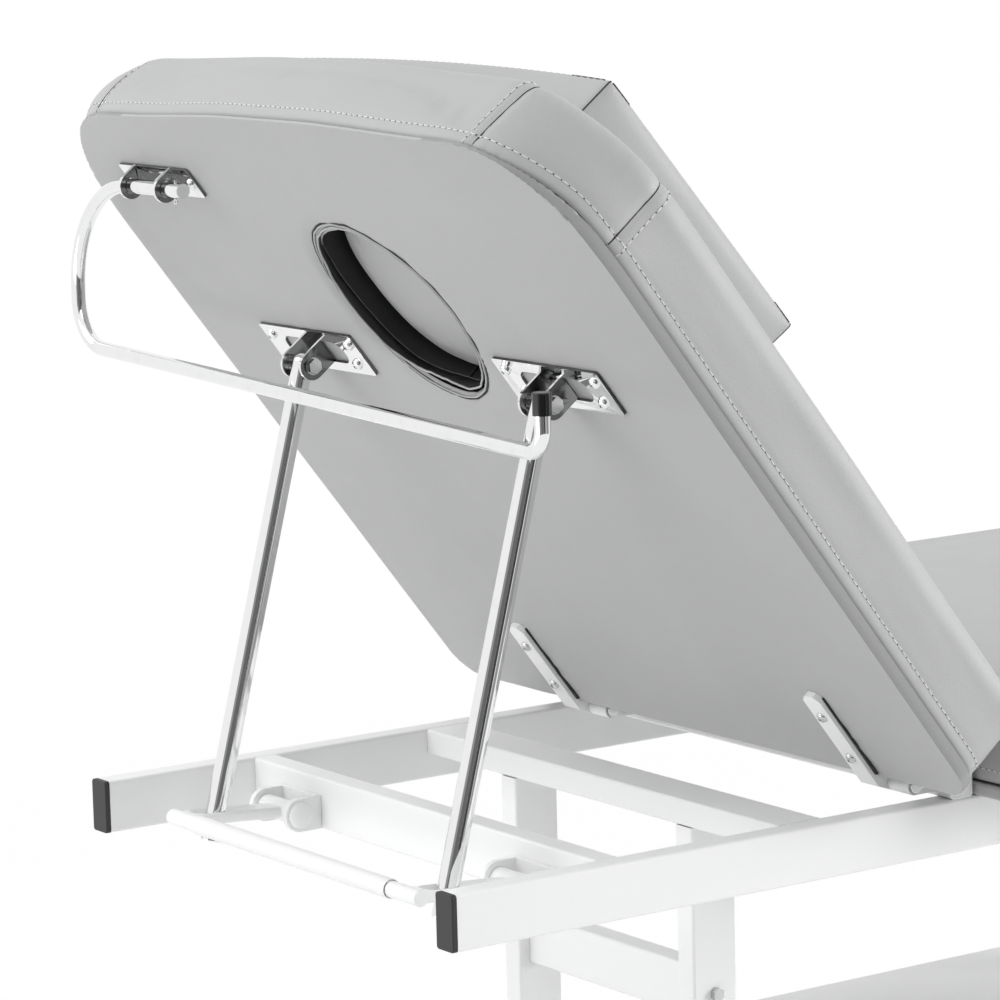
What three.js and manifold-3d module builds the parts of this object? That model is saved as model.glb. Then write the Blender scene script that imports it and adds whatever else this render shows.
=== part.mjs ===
// A spa bed: a white tube frame on a low cabinet, a fixed seat cushion, and a lifting backrest
// that two chrome rods hold up through a friction frame with a grip bar.
// Millimetres. X runs from the head end to the foot end, Y from the near long side to the far
// one, and Z up from the floor. The backrest stands raised, as it does in use.
import * as THREE from 'three';
import { mergeVertices } from 'three/addons/utils/BufferGeometryUtils.js';
import Module from 'manifold-3d';

const wasm = await Module();
wasm.setup();

// Gaps and overruns
const seam = 0.3;
const overrun = 2;

// Frame of rectangular steel tube
const railTop = 650;
const railLength = 1560;
const frameWidth = 608;
const tubeWide = 50;
const tubeNarrow = 25;
const tubeWall = 1.5;
const tubeCorner = 3;
const stopTubeX = 161.5;
const headPostX = 362.5;
const footPostX = 1148;
const footTubeX = 1440;
const hingeTubeX = 545;
const hingeTubeSide = 25;
const ventRadius = 2.5;

// Plastic end caps
const capFlange = 5;
const capPlug = 18;
const capWall = 2.5;

// Posts and their cross members
const postSpread = 280;
const postFootLength = 96;
const postFootWidth = 66;
const postFootThick = 5;
const memberDrop = 160;
const boltShank = 4;
const boltHead = 6.5;
const boltHeadThick = 5.3;

// Backrest hinge
const restAngle = 52.18;
const hingeX = 509.1;
const hingeRise = 9.5;
const armThick = 6;
const armWidth = 25;
const armLength = 125;
const armChamfer = 7;
const armRestGap = 0.4;
const armNearInset = 50;
const armFarInset = 96;
const armWebStart = 13;
const knuckleRadius = 8;
const lugWidth = 28;
const hingePinRadius = 4;
const hingePinHead = 6;
const hingePinHeadThick = 2.5;

// Upholstery that both sections share
const boardThick = 12;
const boardFlatInset = 12;
const bedWidth = 800;
const cornerRadius = 110;
const smallCornerRadius = 35;
const edgeRadius = 12;
const waist = 4;
const swell = 3;
const crown = 5;

// Backrest
const backFoot = 14.6;
const backHead = 793;
const backThick = 95;

// Face hole and its lining
const holeDistance = 564;
const holeLength = 206;
const holeWidth = 170;
const holeSide = -8;
const holeEdgeRadius = 10;
const liningThick = 3;
const liningRim = 7;
const liningProud = 3;
const liningDrop = 12;

// Head pillow
const pillowFoot = 431;
const pillowLength = 290;
const pillowWidth = 604;
const pillowThick = 50;
const pillowCorner = 14;
const pillowEdge = 6;
const pillowCrown = 7;

// Seat and leg section
const seatHeadX = 572;
const seatEndX = 1625;
const seatThick = 95;

// Strut brackets under the backrest
const strutInset = 110;
const bracketDistance = 498;
const bracketLength = 158;
const bracketWidth = 50;
const bracketThick = 3;
const earWidth = 27;
const earGap = 29.4;
const pivotDrop = 24;
const windowReach = 50;

// Chrome rods
const rodRadius = 10;
const rodBossRadius = 12.5;
const rodBossLength = 28;
const rodReach = 24;
const rodChamfer = 1.5;
const stopPinRadius = 2;
const stopPinReach = 3.5;
const stopPinDistance = 13;

// Release frame
const releaseX = 138;
const releaseDrop = 33;
const releaseTilt = 3.8;
const releaseReach = 111;
const releaseRodReach = 73.6;
const hubRadius = 10.5;
const releaseArmWidth = 29;
const releaseArmThick = 11;
const releaseArmCorner = 4;
const slotWidth = 22.6;
const slotStart = 23.5;
const slotEnd = 100.5;
const gripBarRadius = 7.5;
const gripRadius = 9;
const gripLength = 325;
const gripFit = 0.3;

// Clevises that carry the release frame
const clevisInner = 54.4;
const clevisEarThick = 6;
const clevisPlateThick = 5;
const clevisRadius = 16;
const releasePinRadius = 5;
const releaseCapRadius = 13;
const releaseCapHeight = 7;
const boreFit = 0.3;

// Paper roll bail and its bracket
const paperDistance = 706;
const paperPlateWidth = 34;
const paperPlateLength = 124;
const paperPlateThick = 3;
const paperInset = 50;
const bailForward = 5;
const bailDrop = 18;
const bailRadius = 7;
const ringRadius = 12.5;
const ringThick = 4;
const ringSpread = 63;
const ringFit = 0.4;
const bailInnerEnd = 190;
const bailBendLarge = 103.5;
const bailBendSmall = 45;
const bailDepth = 159;
const bailSag = 27;
const bailFreeY = -372;
const bailFreeRise = 50;
const bailFreeBend = 20;
const bailCapRadius = 8.2;
const bailCapLength = 24;
const bailCapThick = 1;
const splitPinRadius = 1.5;
const splitPinLength = 22;
const splitPinY = 204;
const splitEyeRadius = 3.4;

// Cabinet base
const cabinetTop = 300;
const cabinetHeadX = 345;
const cabinetFootX = 1213;
const cabinetDepth = 560;
const panelThick = 16;
const backPanelThick = 8;
const backPanelInset = 10;
const plinthHeight = 50;
const plinthInset = 40;
const plinthThick = 18;
const doorThick = 16;
const doorReveal = 1.5;
const doorBevel = 1.2;
const handleRadius = 5;
const handleLength = 128;
const handleReach = 26;
const handlePostRadius = 4;
const handleInset = 42;
const doorHingeRadius = 3.5;
const doorHingeInset = 6;
const doorHingeGap = 1;
const doorLeafThick = 1.5;
const doorLeafWidth = 18;

// Fineness of round shapes
const roundSteps = 20;
const boltSteps = 12;
const hexagonSides = 6;
const arcSteps = 5;
const cornerSteps = 1;
const profileSteps = 3;
const bailSides = 12;
const bendSteps = 5;
const turnSteps = 6;
const sideSteps = 6;

// Derived places, shared by more than one piece
const backAngle = THREE.MathUtils.degToRad(restAngle);
const backLift = armThick + 2 * seam + armRestGap;
const hingeZ = railTop + backLift + hingeRise;
const underside = -hingeRise;
const middleX = (seatEndX - capFlange - seam) / 2;
const halfFrame = frameWidth / 2;
const railInner = halfFrame - tubeNarrow;
const postY = postSpread / 2;
const strutY = halfFrame - strutInset;
const armNearY = armNearInset - halfFrame;
const armFarY = halfFrame - armFarInset;
const paperSideY = halfFrame - paperInset;
const pivotZ = underside - pivotDrop;
const releaseZ = railTop - releaseDrop;
const headPostMid = headPostX + tubeWide / 2;
const footPostMid = footPostX + tubeWide / 2;
const bailAxisX = -paperDistance - bailForward;
const bailAxisZ = underside - bailDrop;
const frontY = -cabinetDepth / 2;

// Colours and finishes
const whitePaint = { color: 0xf2f2f0, roughness: 0.35, metalness: 0 };
const chromeSteel = { color: 0xd8dadb, roughness: 0.08, metalness: 1 };
const zincSteel = { color: 0xc4c6c8, roughness: 0.3, metalness: 1 };
const greyLeather = { color: 0xb2b2b1, roughness: 0.5, metalness: 0 };
const darkLining = { color: 0x2c2c2e, roughness: 0.7, metalness: 0 };
const blackPlastic = { color: 0x3a3c3e, roughness: 0.55, metalness: 0 };
const whitePlastic = { color: 0xededeb, roughness: 0.4, metalness: 0 };
const whiteBoard = { color: 0xf3f3f1, roughness: 0.45, metalness: 0 };

// Booleans

function solidOf(geometry) {
  const bare = geometry.clone();
  bare.deleteAttribute('normal');
  bare.deleteAttribute('uv');
  const merged = mergeVertices(bare, 1e-4);
  return new wasm.Manifold(new wasm.Mesh({
    numProp: 3,
    vertProperties: new Float32Array(merged.attributes.position.array),
    triVerts: new Uint32Array(merged.index.array),
  }));
}

function geometryOf(solid) {
  const mesh = solid.getMesh();
  const geometry = new THREE.BufferGeometry();
  const positions = new Float32Array(mesh.vertProperties);
  geometry.setAttribute('position', new THREE.BufferAttribute(positions, 3));
  geometry.setIndex(new THREE.BufferAttribute(new Uint32Array(mesh.triVerts), 1));
  return geometry;
}

function join(...geometries) {
  const solids = geometries.map(solidOf);
  return geometryOf(solids.reduce((whole, piece) => whole.add(piece)));
}

function cut(body, ...tools) {
  return geometryOf(tools.map(solidOf).reduce((whole, tool) => whole.subtract(tool), solidOf(body)));
}

// Basic shapes, each given by its lowest and highest coordinates

function block(x0, x1, y0, y1, z0, z1) {
  const geometry = new THREE.BoxGeometry(x1 - x0, y1 - y0, z1 - z0);
  return geometry.translate((x0 + x1) / 2, (y0 + y1) / 2, (z0 + z1) / 2);
}

function rodAlongY(radius, y0, y1, x, z, steps = roundSteps) {
  return new THREE.CylinderGeometry(radius, radius, y1 - y0, steps).translate(x, (y0 + y1) / 2, z);
}

function rodAlongZ(radius, z0, z1, x, y, steps = roundSteps) {
  const geometry = new THREE.CylinderGeometry(radius, radius, z1 - z0, steps);
  return geometry.rotateX(Math.PI / 2).translate(x, y, (z0 + z1) / 2);
}

function roundedRectangle(width, height, radius) {
  const shape = new THREE.Shape();
  const [w, h] = [width / 2, height / 2];
  shape.absarc(w - radius, h - radius, radius, 0, Math.PI / 2);
  shape.absarc(radius - w, h - radius, radius, Math.PI / 2, Math.PI);
  shape.absarc(radius - w, radius - h, radius, Math.PI, 1.5 * Math.PI);
  shape.absarc(w - radius, radius - h, radius, 1.5 * Math.PI, 2 * Math.PI);
  shape.closePath();
  return shape;
}

function extrude(shape, depth, steps = cornerSteps) {
  return new THREE.ExtrudeGeometry(shape, { depth, bevelEnabled: false, curveSegments: steps });
}

// An outline in the X-Z plane, drawn out along Y from y0 to y1
function extrudeAlongY(shape, y0, y1, steps = arcSteps) {
  return extrude(shape, y1 - y0, steps).rotateX(Math.PI / 2).translate(0, y1, 0);
}

function tubeSection(width, height) {
  const shape = roundedRectangle(width, height, tubeCorner);
  const inner = roundedRectangle(width - 2 * tubeWall, height - 2 * tubeWall, tubeCorner - tubeWall / 2);
  shape.holes.push(new THREE.Path(inner.getPoints(cornerSteps)));
  return shape;
}

// Square tube from x0 to x1, with its section centred on y and z
function tubeAlongX(x0, x1, y, z, width, height) {
  const geometry = extrude(tubeSection(width, height), x1 - x0);
  return geometry.rotateX(Math.PI / 2).rotateZ(Math.PI / 2).translate(x0, y, z);
}

function tubeAlongY(y0, y1, x, z, width, height) {
  return extrude(tubeSection(width, height), y1 - y0).rotateX(Math.PI / 2).translate(x, y1, z);
}

function tubeAlongZ(z0, z1, x, y, width, height) {
  return extrude(tubeSection(width, height), z1 - z0).translate(x, y, z0);
}

// Soft forms are rings of points, one inside the next, drawn as a skin between them

// An oblong outline from x0 to x1 with rounded corners, drawn in between its corners
function oblongRing(x0, x1, halfWidth, startRadius, endRadius, drawnIn) {
  const corners = [
    [x1 - endRadius, halfWidth - endRadius, endRadius, 0],
    [x0 + startRadius, halfWidth - startRadius, startRadius, 1],
    [x0 + startRadius, startRadius - halfWidth, startRadius, 2],
    [x1 - endRadius, endRadius - halfWidth, endRadius, 3],
  ];
  const points = [];
  corners.forEach(([cx, cy, radius, quarter], index) => {
    const arc = [];
    for (let i = 0; i <= turnSteps; i += 1) {
      const angle = (quarter + i / turnSteps) * Math.PI / 2;
      arc.push(new THREE.Vector2(cx + radius * Math.cos(angle), cy + radius * Math.sin(angle)));
    }
    points.push(...arc);
    const [nx, ny, nr, nq] = corners[(index + 1) % corners.length];
    const turn = nq * Math.PI / 2;
    const next = new THREE.Vector2(nx + nr * Math.cos(turn), ny + nr * Math.sin(turn));
    for (let i = 1; i < sideSteps; i += 1) {
      points.push(arc[turnSteps].clone().lerp(next, i / sideSteps));
    }
  });
  const [mid, half] = [(x0 + x1) / 2, (x1 - x0) / 2];
  return points.map((p) => {
    const [u, v] = [(p.x - mid) / half, p.y / halfWidth];
    const pull = drawnIn * (1 - Math.min(u * u, v * v));
    const middle = Math.max(1 - Math.min(u * u, 1), 1 - Math.min(v * v, 1));
    const share = pull * middle;
    return new THREE.Vector2(p.x - share * Math.sign(u) * (Math.abs(u) > Math.abs(v) ? 1 : 0),
      p.y - share * Math.sign(v) * (Math.abs(u) > Math.abs(v) ? 0 : 1));
  });
}

function ovalRing(like, cx, cy, radiusX, radiusY) {
  return like.map((p) => {
    const angle = Math.atan2((p.y - cy) / radiusY, (p.x - cx) / radiusX);
    return new THREE.Vector2(cx + radiusX * Math.cos(angle), cy + radiusY * Math.sin(angle));
  });
}

function between(ring, target, share) {
  return ring.map((p, i) => p.clone().lerp(target[i], share));
}

function level(ring, z) {
  return ring.map((p) => new THREE.Vector3(p.x, p.y, z));
}

// Rings that run in order round a closed section, as round a ring cushion
function hoopSolid(rings) {
  const count = rings[0].length;
  const positions = rings.flatMap((ring) => ring.flatMap((p) => [p.x, p.y, p.z]));
  const index = [];
  rings.forEach((ring, k) => {
    const next = (k + 1) % rings.length;
    for (let i = 0; i < count; i += 1) {
      const j = (i + 1) % count;
      const [a, b, c, d] = [k * count + i, k * count + j, next * count + j, next * count + i];
      index.push(a, b, c, a, c, d);
    }
  });
  return indexed(positions, index);
}

// Rings that run from the middle of the underside, up the sides, to the middle of the top
function padSolid(rings) {
  const count = rings[0].length;
  const centre = (ring) => ring.reduce((sum, p) => sum.add(p), new THREE.Vector3()).divideScalar(count);
  const ends = [centre(rings[0]), centre(rings[rings.length - 1])];
  const positions = [...rings.flat(), ...ends].flatMap((p) => [p.x, p.y, p.z]);
  const index = [];
  for (let k = 0; k + 1 < rings.length; k += 1) {
    for (let i = 0; i < count; i += 1) {
      const j = (i + 1) % count;
      const [a, b, c, d] = [k * count + i, k * count + j, (k + 1) * count + j, (k + 1) * count + i];
      index.push(a, b, c, a, c, d);
    }
  }
  const last = (rings.length - 1) * count;
  for (let i = 0; i < count; i += 1) {
    const j = (i + 1) % count;
    index.push(rings.length * count, j, i);
    index.push(rings.length * count + 1, last + i, last + j);
  }
  return indexed(positions, index);
}

function indexed(positions, index) {
  const geometry = new THREE.BufferGeometry();
  geometry.setAttribute('position', new THREE.Float32BufferAttribute(positions, 3));
  geometry.setIndex(index);
  return geometry;
}

// The rings of a cushion's side, from its lower seam up over its rounded top edge.
// outline(inset, drawnIn) gives a flat ring.
function sideRings(outline, low, high, radius) {
  const sideShares = [0, 0.25, 0.5, 0.75, 1];
  const edgeSteps = 3;
  const rings = sideShares.map((share) => {
    const bulge = Math.sin(share * Math.PI);
    const ring = outline(swell * (1 - bulge), waist * bulge);
    return level(ring, low + share * (high - radius - low));
  });
  for (let i = 1; i <= edgeSteps; i += 1) {
    const angle = (i / edgeSteps) * Math.PI / 2;
    const inset = swell + radius * (1 - Math.cos(angle));
    rings.push(level(outline(inset, 0), high - radius * (1 - Math.sin(angle))));
  }
  return rings;
}

// Frame

function sideRail(side) {
  const y = side * (halfFrame - tubeNarrow / 2);
  return tubeAlongX(0, railLength, y, railTop - tubeWide / 2, tubeNarrow, tubeWide);
}

function crossTube(x, width, height) {
  const end = railInner - seam;
  return tubeAlongY(-end, end, x + width / 2, railTop - height / 2, width, height);
}

function endCap(x, y, z, width, height, outward) {
  const flange = extrude(roundedRectangle(width, height, tubeCorner), capFlange);
  const plugWidth = width - 2 * (tubeWall + seam);
  const plugHeight = height - 2 * (tubeWall + seam);
  const plugShape = roundedRectangle(plugWidth, plugHeight, tubeCorner - tubeWall / 2);
  const plug = extrude(plugShape, capPlug + capFlange / 2).translate(0, 0, -capPlug);
  const cavityShape = roundedRectangle(plugWidth - 2 * capWall, plugHeight - 2 * capWall, tubeWall);
  const cavity = extrude(cavityShape, capPlug + overrun).translate(0, 0, -capPlug - overrun);
  const cap = cut(join(flange, plug), cavity);
  cap.rotateX(Math.PI / 2).rotateZ(outward * Math.PI / 2);
  return cap.translate(x + outward * seam, y, z);
}

function railCap(side, outward) {
  const y = side * (halfFrame - tubeNarrow / 2);
  const x = outward > 0 ? railLength : 0;
  return endCap(x, y, railTop - tubeWide / 2, tubeNarrow, tubeWide, outward);
}

function hingeTubeZ() {
  return railTop + seam + hingeTubeSide / 2;
}

// Its ends are welded shut, and a vent in its underside lets the hot air out as it is coated
function hingeTube() {
  const x = hingeTubeX + hingeTubeSide / 2;
  const tube = tubeAlongY(-halfFrame, halfFrame, x, hingeTubeZ(), hingeTubeSide, hingeTubeSide);
  const inner = hingeTubeSide - tubeWall;
  const plates = [-1, 1].map((side) => {
    const y = side * (halfFrame - tubeWall / 2);
    return extrude(roundedRectangle(inner, inner, tubeWall), tubeWall)
      .translate(0, 0, -tubeWall / 2).rotateX(Math.PI / 2).translate(x, y, hingeTubeZ());
  });
  const vent = rodAlongZ(ventRadius, railTop - overrun, hingeTubeZ(), x, 0, boltSteps);
  return cut(join(tube, ...plates), vent);
}

// Posts and lower members

function post(x, side) {
  const y = side * postY;
  const low = cabinetTop + seam;
  const tube = tubeAlongZ(low + postFootThick / 2, railTop - tubeNarrow - seam, x, y, tubeWide, tubeNarrow);
  const foot = extrude(roundedRectangle(postFootLength, postFootWidth, postFootThick), postFootThick);
  foot.translate(x, y, low);
  const hole = rodAlongY(boltShank + boreFit, y - tubeNarrow, y + tubeNarrow, x, memberZ(), boltSteps);
  return cut(join(tube, foot), hole);
}

function memberZ() {
  return railTop - memberDrop - tubeWide / 2;
}

function lowerMember(x) {
  const end = postY - tubeNarrow / 2 - seam;
  return tubeAlongY(-end, end, x, memberZ(), tubeNarrow, tubeWide);
}

function hexagon(radius, y0, y1, x, z) {
  return rodAlongY(radius, y0, y1, x, z, hexagonSides);
}

// One long bolt through both posts and the member, with a nut at each end
function tieBolt(x) {
  const face = postY + tubeNarrow / 2 + seam;
  const end = face + boltHeadThick;
  return join(
    hexagon(boltHead, -end, -face, x, memberZ()),
    hexagon(boltHead, face, end, x, memberZ()),
    rodAlongY(boltShank, -end + boltHeadThick / 2, end + boltHeadThick / 3, x, memberZ(), boltSteps),
  );
}

// Cabinet

function cabinetTopPanel() {
  const y = cabinetDepth / 2;
  return block(cabinetHeadX, cabinetFootX, -y, y, cabinetTop - panelThick, cabinetTop);
}

function cabinetBottomPanel() {
  const y = cabinetDepth / 2;
  return block(cabinetHeadX, cabinetFootX, -y, y, plinthHeight, plinthHeight + panelThick);
}

function uprightPanel(x0, x1, y0, y1) {
  const low = plinthHeight + panelThick + seam;
  return block(x0, x1, y0, y1, low, cabinetTop - panelThick - seam);
}

// A frame of boards on edge, set back from the doors
function plinth() {
  const [x0, x1] = [cabinetHeadX + plinthInset, cabinetFootX - plinthInset];
  const y = cabinetDepth / 2 - plinthInset;
  const top = plinthHeight - seam;
  const hollow = block(
    x0 + plinthThick,
    x1 - plinthThick,
    plinthThick - y,
    y - plinthThick,
    -overrun,
    top + overrun,
  );
  return cut(block(x0, x1, -y, y, 0, top), hollow);
}

function doorSpan(end) {
  const middle = (cabinetHeadX + cabinetFootX) / 2;
  if (end < 0) {
    return [cabinetHeadX, middle - doorReveal];
  }
  return [middle + doorReveal, cabinetFootX];
}

function door(end) {
  const [x0, x1] = doorSpan(end);
  const [z0, z1] = [plinthHeight + doorReveal, cabinetTop - doorReveal];
  const shape = roundedRectangle(x1 - x0 - 2 * doorBevel, z1 - z0 - 2 * doorBevel, doorBevel);
  const panel = new THREE.ExtrudeGeometry(shape, {
    depth: doorThick - 2 * doorBevel,
    bevelThickness: doorBevel,
    bevelSize: doorBevel,
    bevelSegments: 1,
    curveSegments: 1,
  });
  panel.rotateX(Math.PI / 2).translate((x0 + x1) / 2, frontY - seam - doorBevel, (z0 + z1) / 2);
  return panel;
}

function handleX(end) {
  const [x0, x1] = doorSpan(end);
  return end < 0 ? x1 - handleInset : x0 + handleInset;
}

function handleHeights() {
  const middle = (plinthHeight + cabinetTop) / 2;
  return [-1, 1].map((side) => middle + side * handleLength / 3);
}

function doorHandle(end) {
  const x = handleX(end);
  const face = frontY - seam - doorThick - seam;
  const middle = (plinthHeight + cabinetTop) / 2;
  const y = face - handleReach;
  const bar = rodAlongZ(handleRadius, middle - handleLength / 2, middle + handleLength / 2, x, y);
  const posts = handleHeights().map((z) => rodAlongY(handlePostRadius, y, face, x, z, boltSteps));
  return join(bar, ...posts);
}

function doorHingeAxisX(end) {
  return (end < 0 ? cabinetHeadX : cabinetFootX) + end * (doorHingeRadius + doorHingeGap);
}

// A hinge as long as the door is high: a barrel at the corner and a leaf on the end panel
function doorHinge(end) {
  const x = doorHingeAxisX(end);
  const face = end < 0 ? cabinetHeadX : cabinetFootX;
  const [z0, z1] = [plinthHeight + doorHingeInset, cabinetTop - doorHingeInset];
  const barrel = rodAlongZ(doorHingeRadius, z0, z1, x, frontY - seam, boltSteps);
  const [x0, x1] = [face + end * seam, face + end * (seam + doorLeafThick)].sort((a, b) => a - b);
  return join(barrel, block(x0, x1, frontY - seam, frontY + doorLeafWidth, z0, z1));
}

// Backrest pieces are drawn lying flat, with the hinge axis along Y at the origin

function backOutline(inset, drawnIn) {
  const radii = [cornerRadius - inset, smallCornerRadius - inset];
  return oblongRing(inset - backHead, -backFoot - inset, bedWidth / 2 - inset, ...radii, drawnIn);
}

// The face hole's outline, its points in line with those of the backrest's own outline
function holeRing(grow) {
  const outline = backOutline(boardFlatInset, 0);
  return ovalRing(outline, -holeDistance, holeSide, holeLength / 2 + grow, holeWidth / 2 + grow);
}

function backHole() {
  return liningThick + seam;
}

function boardRings(outline, low) {
  const edgeSteps = 3;
  const edge = [];
  for (let i = 0; i <= edgeSteps; i += 1) {
    const angle = (i / edgeSteps) * Math.PI / 2;
    const inset = boardFlatInset * (1 - Math.sin(angle));
    edge.push(level(outline(inset, 0), low + boardThick * (1 - Math.cos(angle))));
  }
  return edge;
}

function backBoard() {
  const outer = boardRings(backOutline, underside);
  const low = level(holeRing(backHole()), underside);
  const high = level(holeRing(backHole()), underside + boardThick);
  return hoopSolid([low, ...outer, high]);
}

function backCushion() {
  const low = underside + boardThick + seam;
  const high = underside + backThick;
  const rings = sideRings(backOutline, low, high, edgeRadius);
  const topOutline = backOutline(swell + edgeRadius, 0);
  const hole = holeRing(backHole());
  const mouth = holeRing(backHole() + holeEdgeRadius);
  const crownShares = [0.2, 0.45, 0.7, 0.9];
  const top = crownShares.map((share) => {
    const ring = between(topOutline, mouth, share);
    return level(ring, high + crown * Math.sin(Math.PI * Math.min(share, 1 - share / 3)));
  });
  const rim = level(mouth, high);
  const inner = level(hole, high - holeEdgeRadius);
  const bottom = level(holeRing(backHole()), low);
  return hoopSolid([...rings, ...top, rim, inner, bottom]);
}

function holeLining() {
  const low = underside - liningProud - seam;
  const top = underside + backThick - liningDrop;
  return hoopSolid([
    level(holeRing(0), top),
    level(holeRing(0), low),
    level(holeRing(liningRim), low),
    level(holeRing(liningRim), underside - seam),
    level(holeRing(liningThick), underside - seam),
    level(holeRing(liningThick), top),
  ]);
}

function pillow() {
  const x1 = -pillowFoot;
  const x0 = x1 - pillowLength;
  const low = underside + backThick + crown + seam;
  const outline = (inset, drawnIn) => {
    const radius = pillowCorner - Math.min(inset, pillowCorner / 2);
    return oblongRing(x0 + inset, x1 - inset, pillowWidth / 2 - inset, radius, radius, drawnIn);
  };
  const sides = sideRings(outline, low + pillowEdge, low + pillowThick, pillowEdge);
  const shares = [0.25, 0.6, 0.95];
  const middle = outline(pillowEdge, 0).map(() => new THREE.Vector2((x0 + x1) / 2, 0));
  const flat = outline(swell + pillowEdge, 0);
  const top = shares.map((share) => (
    level(between(flat, middle, share), low + pillowThick + pillowCrown * Math.sin(share * Math.PI / 2))
  ));
  const under = [level(between(flat, middle, shares[2]), low), level(flat, low)];
  return padSolid([...under, ...sides, ...top]);
}

// Strut brackets: a plate whose two ears are punched out and folded down

function earOutline() {
  const half = earWidth / 2;
  const shape = new THREE.Shape();
  shape.moveTo(half - bracketDistance, underside - seam - bracketThick / 2);
  shape.lineTo(-half - bracketDistance, underside - seam - bracketThick / 2);
  shape.lineTo(-half - bracketDistance, pivotZ);
  shape.absarc(-bracketDistance, pivotZ, half, Math.PI, 2 * Math.PI);
  shape.closePath();
  const hole = new THREE.Path();
  hole.absarc(-bracketDistance, pivotZ, boltShank + boreFit, 0, 2 * Math.PI, true);
  shape.holes.push(hole);
  return shape;
}

function strutBracket(side) {
  const y = side * strutY;
  const top = underside - seam;
  const plate = extrude(roundedRectangle(bracketWidth, bracketLength, bracketThick), bracketThick);
  plate.translate(-bracketDistance, y, top - bracketThick);
  const fold = earGap / 2 + bracketThick;
  const windows = [-1, 1].map((end) => {
    const half = earWidth / 2;
    const shape = new THREE.Shape();
    shape.moveTo(-half, end * fold);
    shape.lineTo(-half, end * (windowReach - half));
    shape.absarc(0, end * (windowReach - half), half, Math.PI, end > 0 ? 0 : 2 * Math.PI, end > 0);
    shape.lineTo(half, end * fold);
    shape.closePath();
    return extrude(shape, bracketThick + 2 * overrun, profileSteps)
      .translate(-bracketDistance, y, top - bracketThick - overrun);
  });
  const ears = [-1, 1].map((end) => {
    const [y0, y1] = [end * earGap / 2, end * fold].sort((a, b) => a - b);
    return extrudeAlongY(earOutline(), y + y0, y + y1);
  });
  return cut(join(plate, ...ears), ...windows);
}

function pivotBolt(side) {
  const y = side * strutY;
  const face = earGap / 2 + bracketThick + seam;
  const head = hexagon(boltHead, y + face, y + face + boltHeadThick, -bracketDistance, pivotZ);
  const nut = hexagon(boltHead, y - face - boltHeadThick, y - face, -bracketDistance, pivotZ);
  const reach = face + boltHeadThick + boltHeadThick / 3;
  const shank = rodAlongY(boltShank, y - reach, y + face + boltHeadThick / 2, -bracketDistance, pivotZ);
  return join(head, nut, shank);
}

// Hinge arms under the backrest, their lugs on the hinge tube, and their pins

function hingeArm(y) {
  const top = underside - seam;
  const low = top - armThick;
  const half = armWidth / 2;
  const shape = new THREE.Shape();
  shape.moveTo(-armWebStart, -half);
  shape.lineTo(-armWebStart, half);
  shape.lineTo(armChamfer - armLength, half);
  shape.lineTo(-armLength, half - armChamfer);
  shape.lineTo(-armLength, armChamfer - half);
  shape.lineTo(armChamfer - armLength, -half);
  shape.closePath();
  const bar = extrude(shape, armThick).translate(0, y, low);
  const lift = knuckleRadius * Math.SQRT1_2;
  const web = new THREE.Shape();
  web.moveTo(-armWebStart - knuckleRadius, top);
  web.lineTo(-lift, lift);
  web.lineTo(lift, -lift);
  web.lineTo(-armWebStart + armThick / 2, low);
  web.lineTo(-armWebStart - knuckleRadius, low);
  web.closePath();
  const knuckle = rodAlongY(knuckleRadius, y - half, y + half, 0, 0);
  const bore = rodAlongY(hingePinRadius + boreFit, y - armWidth, y + armWidth, 0, 0);
  return cut(join(bar, extrudeAlongY(web, y - half, y + half), knuckle), bore);
}

function lugSpan(y) {
  const high = y - armWidth / 2 - seam;
  return [high - lugWidth, high];
}

function hingeLug(y) {
  const [y0, y1] = lugSpan(y);
  const back = hingeTubeX - hingeX - seam;
  const web = block(0, back, y0, y1, -knuckleRadius, knuckleRadius);
  const bore = rodAlongY(hingePinRadius + boreFit, y0 - overrun, y1 + overrun, 0, 0);
  return cut(join(web, rodAlongY(knuckleRadius, y0, y1, 0, 0)), bore);
}

function hingePin(y) {
  const [y0] = lugSpan(y);
  const low = y0 - seam;
  const high = y + armWidth / 2 + seam;
  return join(
    rodAlongY(hingePinHead, low - hingePinHeadThick, low, 0, 0),
    rodAlongY(hingePinRadius, low - hingePinHeadThick / 2, high + hingePinHeadThick / 2, 0, 0),
    rodAlongY(hingePinHead, high, high + hingePinHeadThick, 0, 0),
  );
}

// Paper roll bracket, under the head end on the far side

function paperBracket() {
  const top = underside - seam;
  const outline = roundedRectangle(paperPlateWidth, paperPlateLength, paperPlateThick);
  const plate = extrude(outline, paperPlateThick);
  plate.translate(-paperDistance, paperSideY, top - paperPlateThick);
  const rings = [-1, 1].map((side) => {
    const y = paperSideY + side * ringSpread / 2;
    const shape = new THREE.Shape();
    shape.moveTo(bailAxisX + ringRadius, top - paperPlateThick / 2);
    shape.lineTo(bailAxisX - ringRadius, top - paperPlateThick / 2);
    shape.lineTo(bailAxisX - ringRadius, bailAxisZ);
    shape.absarc(bailAxisX, bailAxisZ, ringRadius, Math.PI, 2 * Math.PI);
    shape.closePath();
    return extrudeAlongY(shape, y - ringThick / 2, y + ringThick / 2);
  });
  const reach = ringSpread / 2 + ringThick;
  const [y0, y1] = [paperSideY - reach, paperSideY + reach];
  const bore = rodAlongY(bailRadius + ringFit, y0, y1, bailAxisX, bailAxisZ);
  return cut(join(plate, ...rings), bore);
}

// The bail hangs straight down from its axis, in the Y-Z plane

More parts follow.
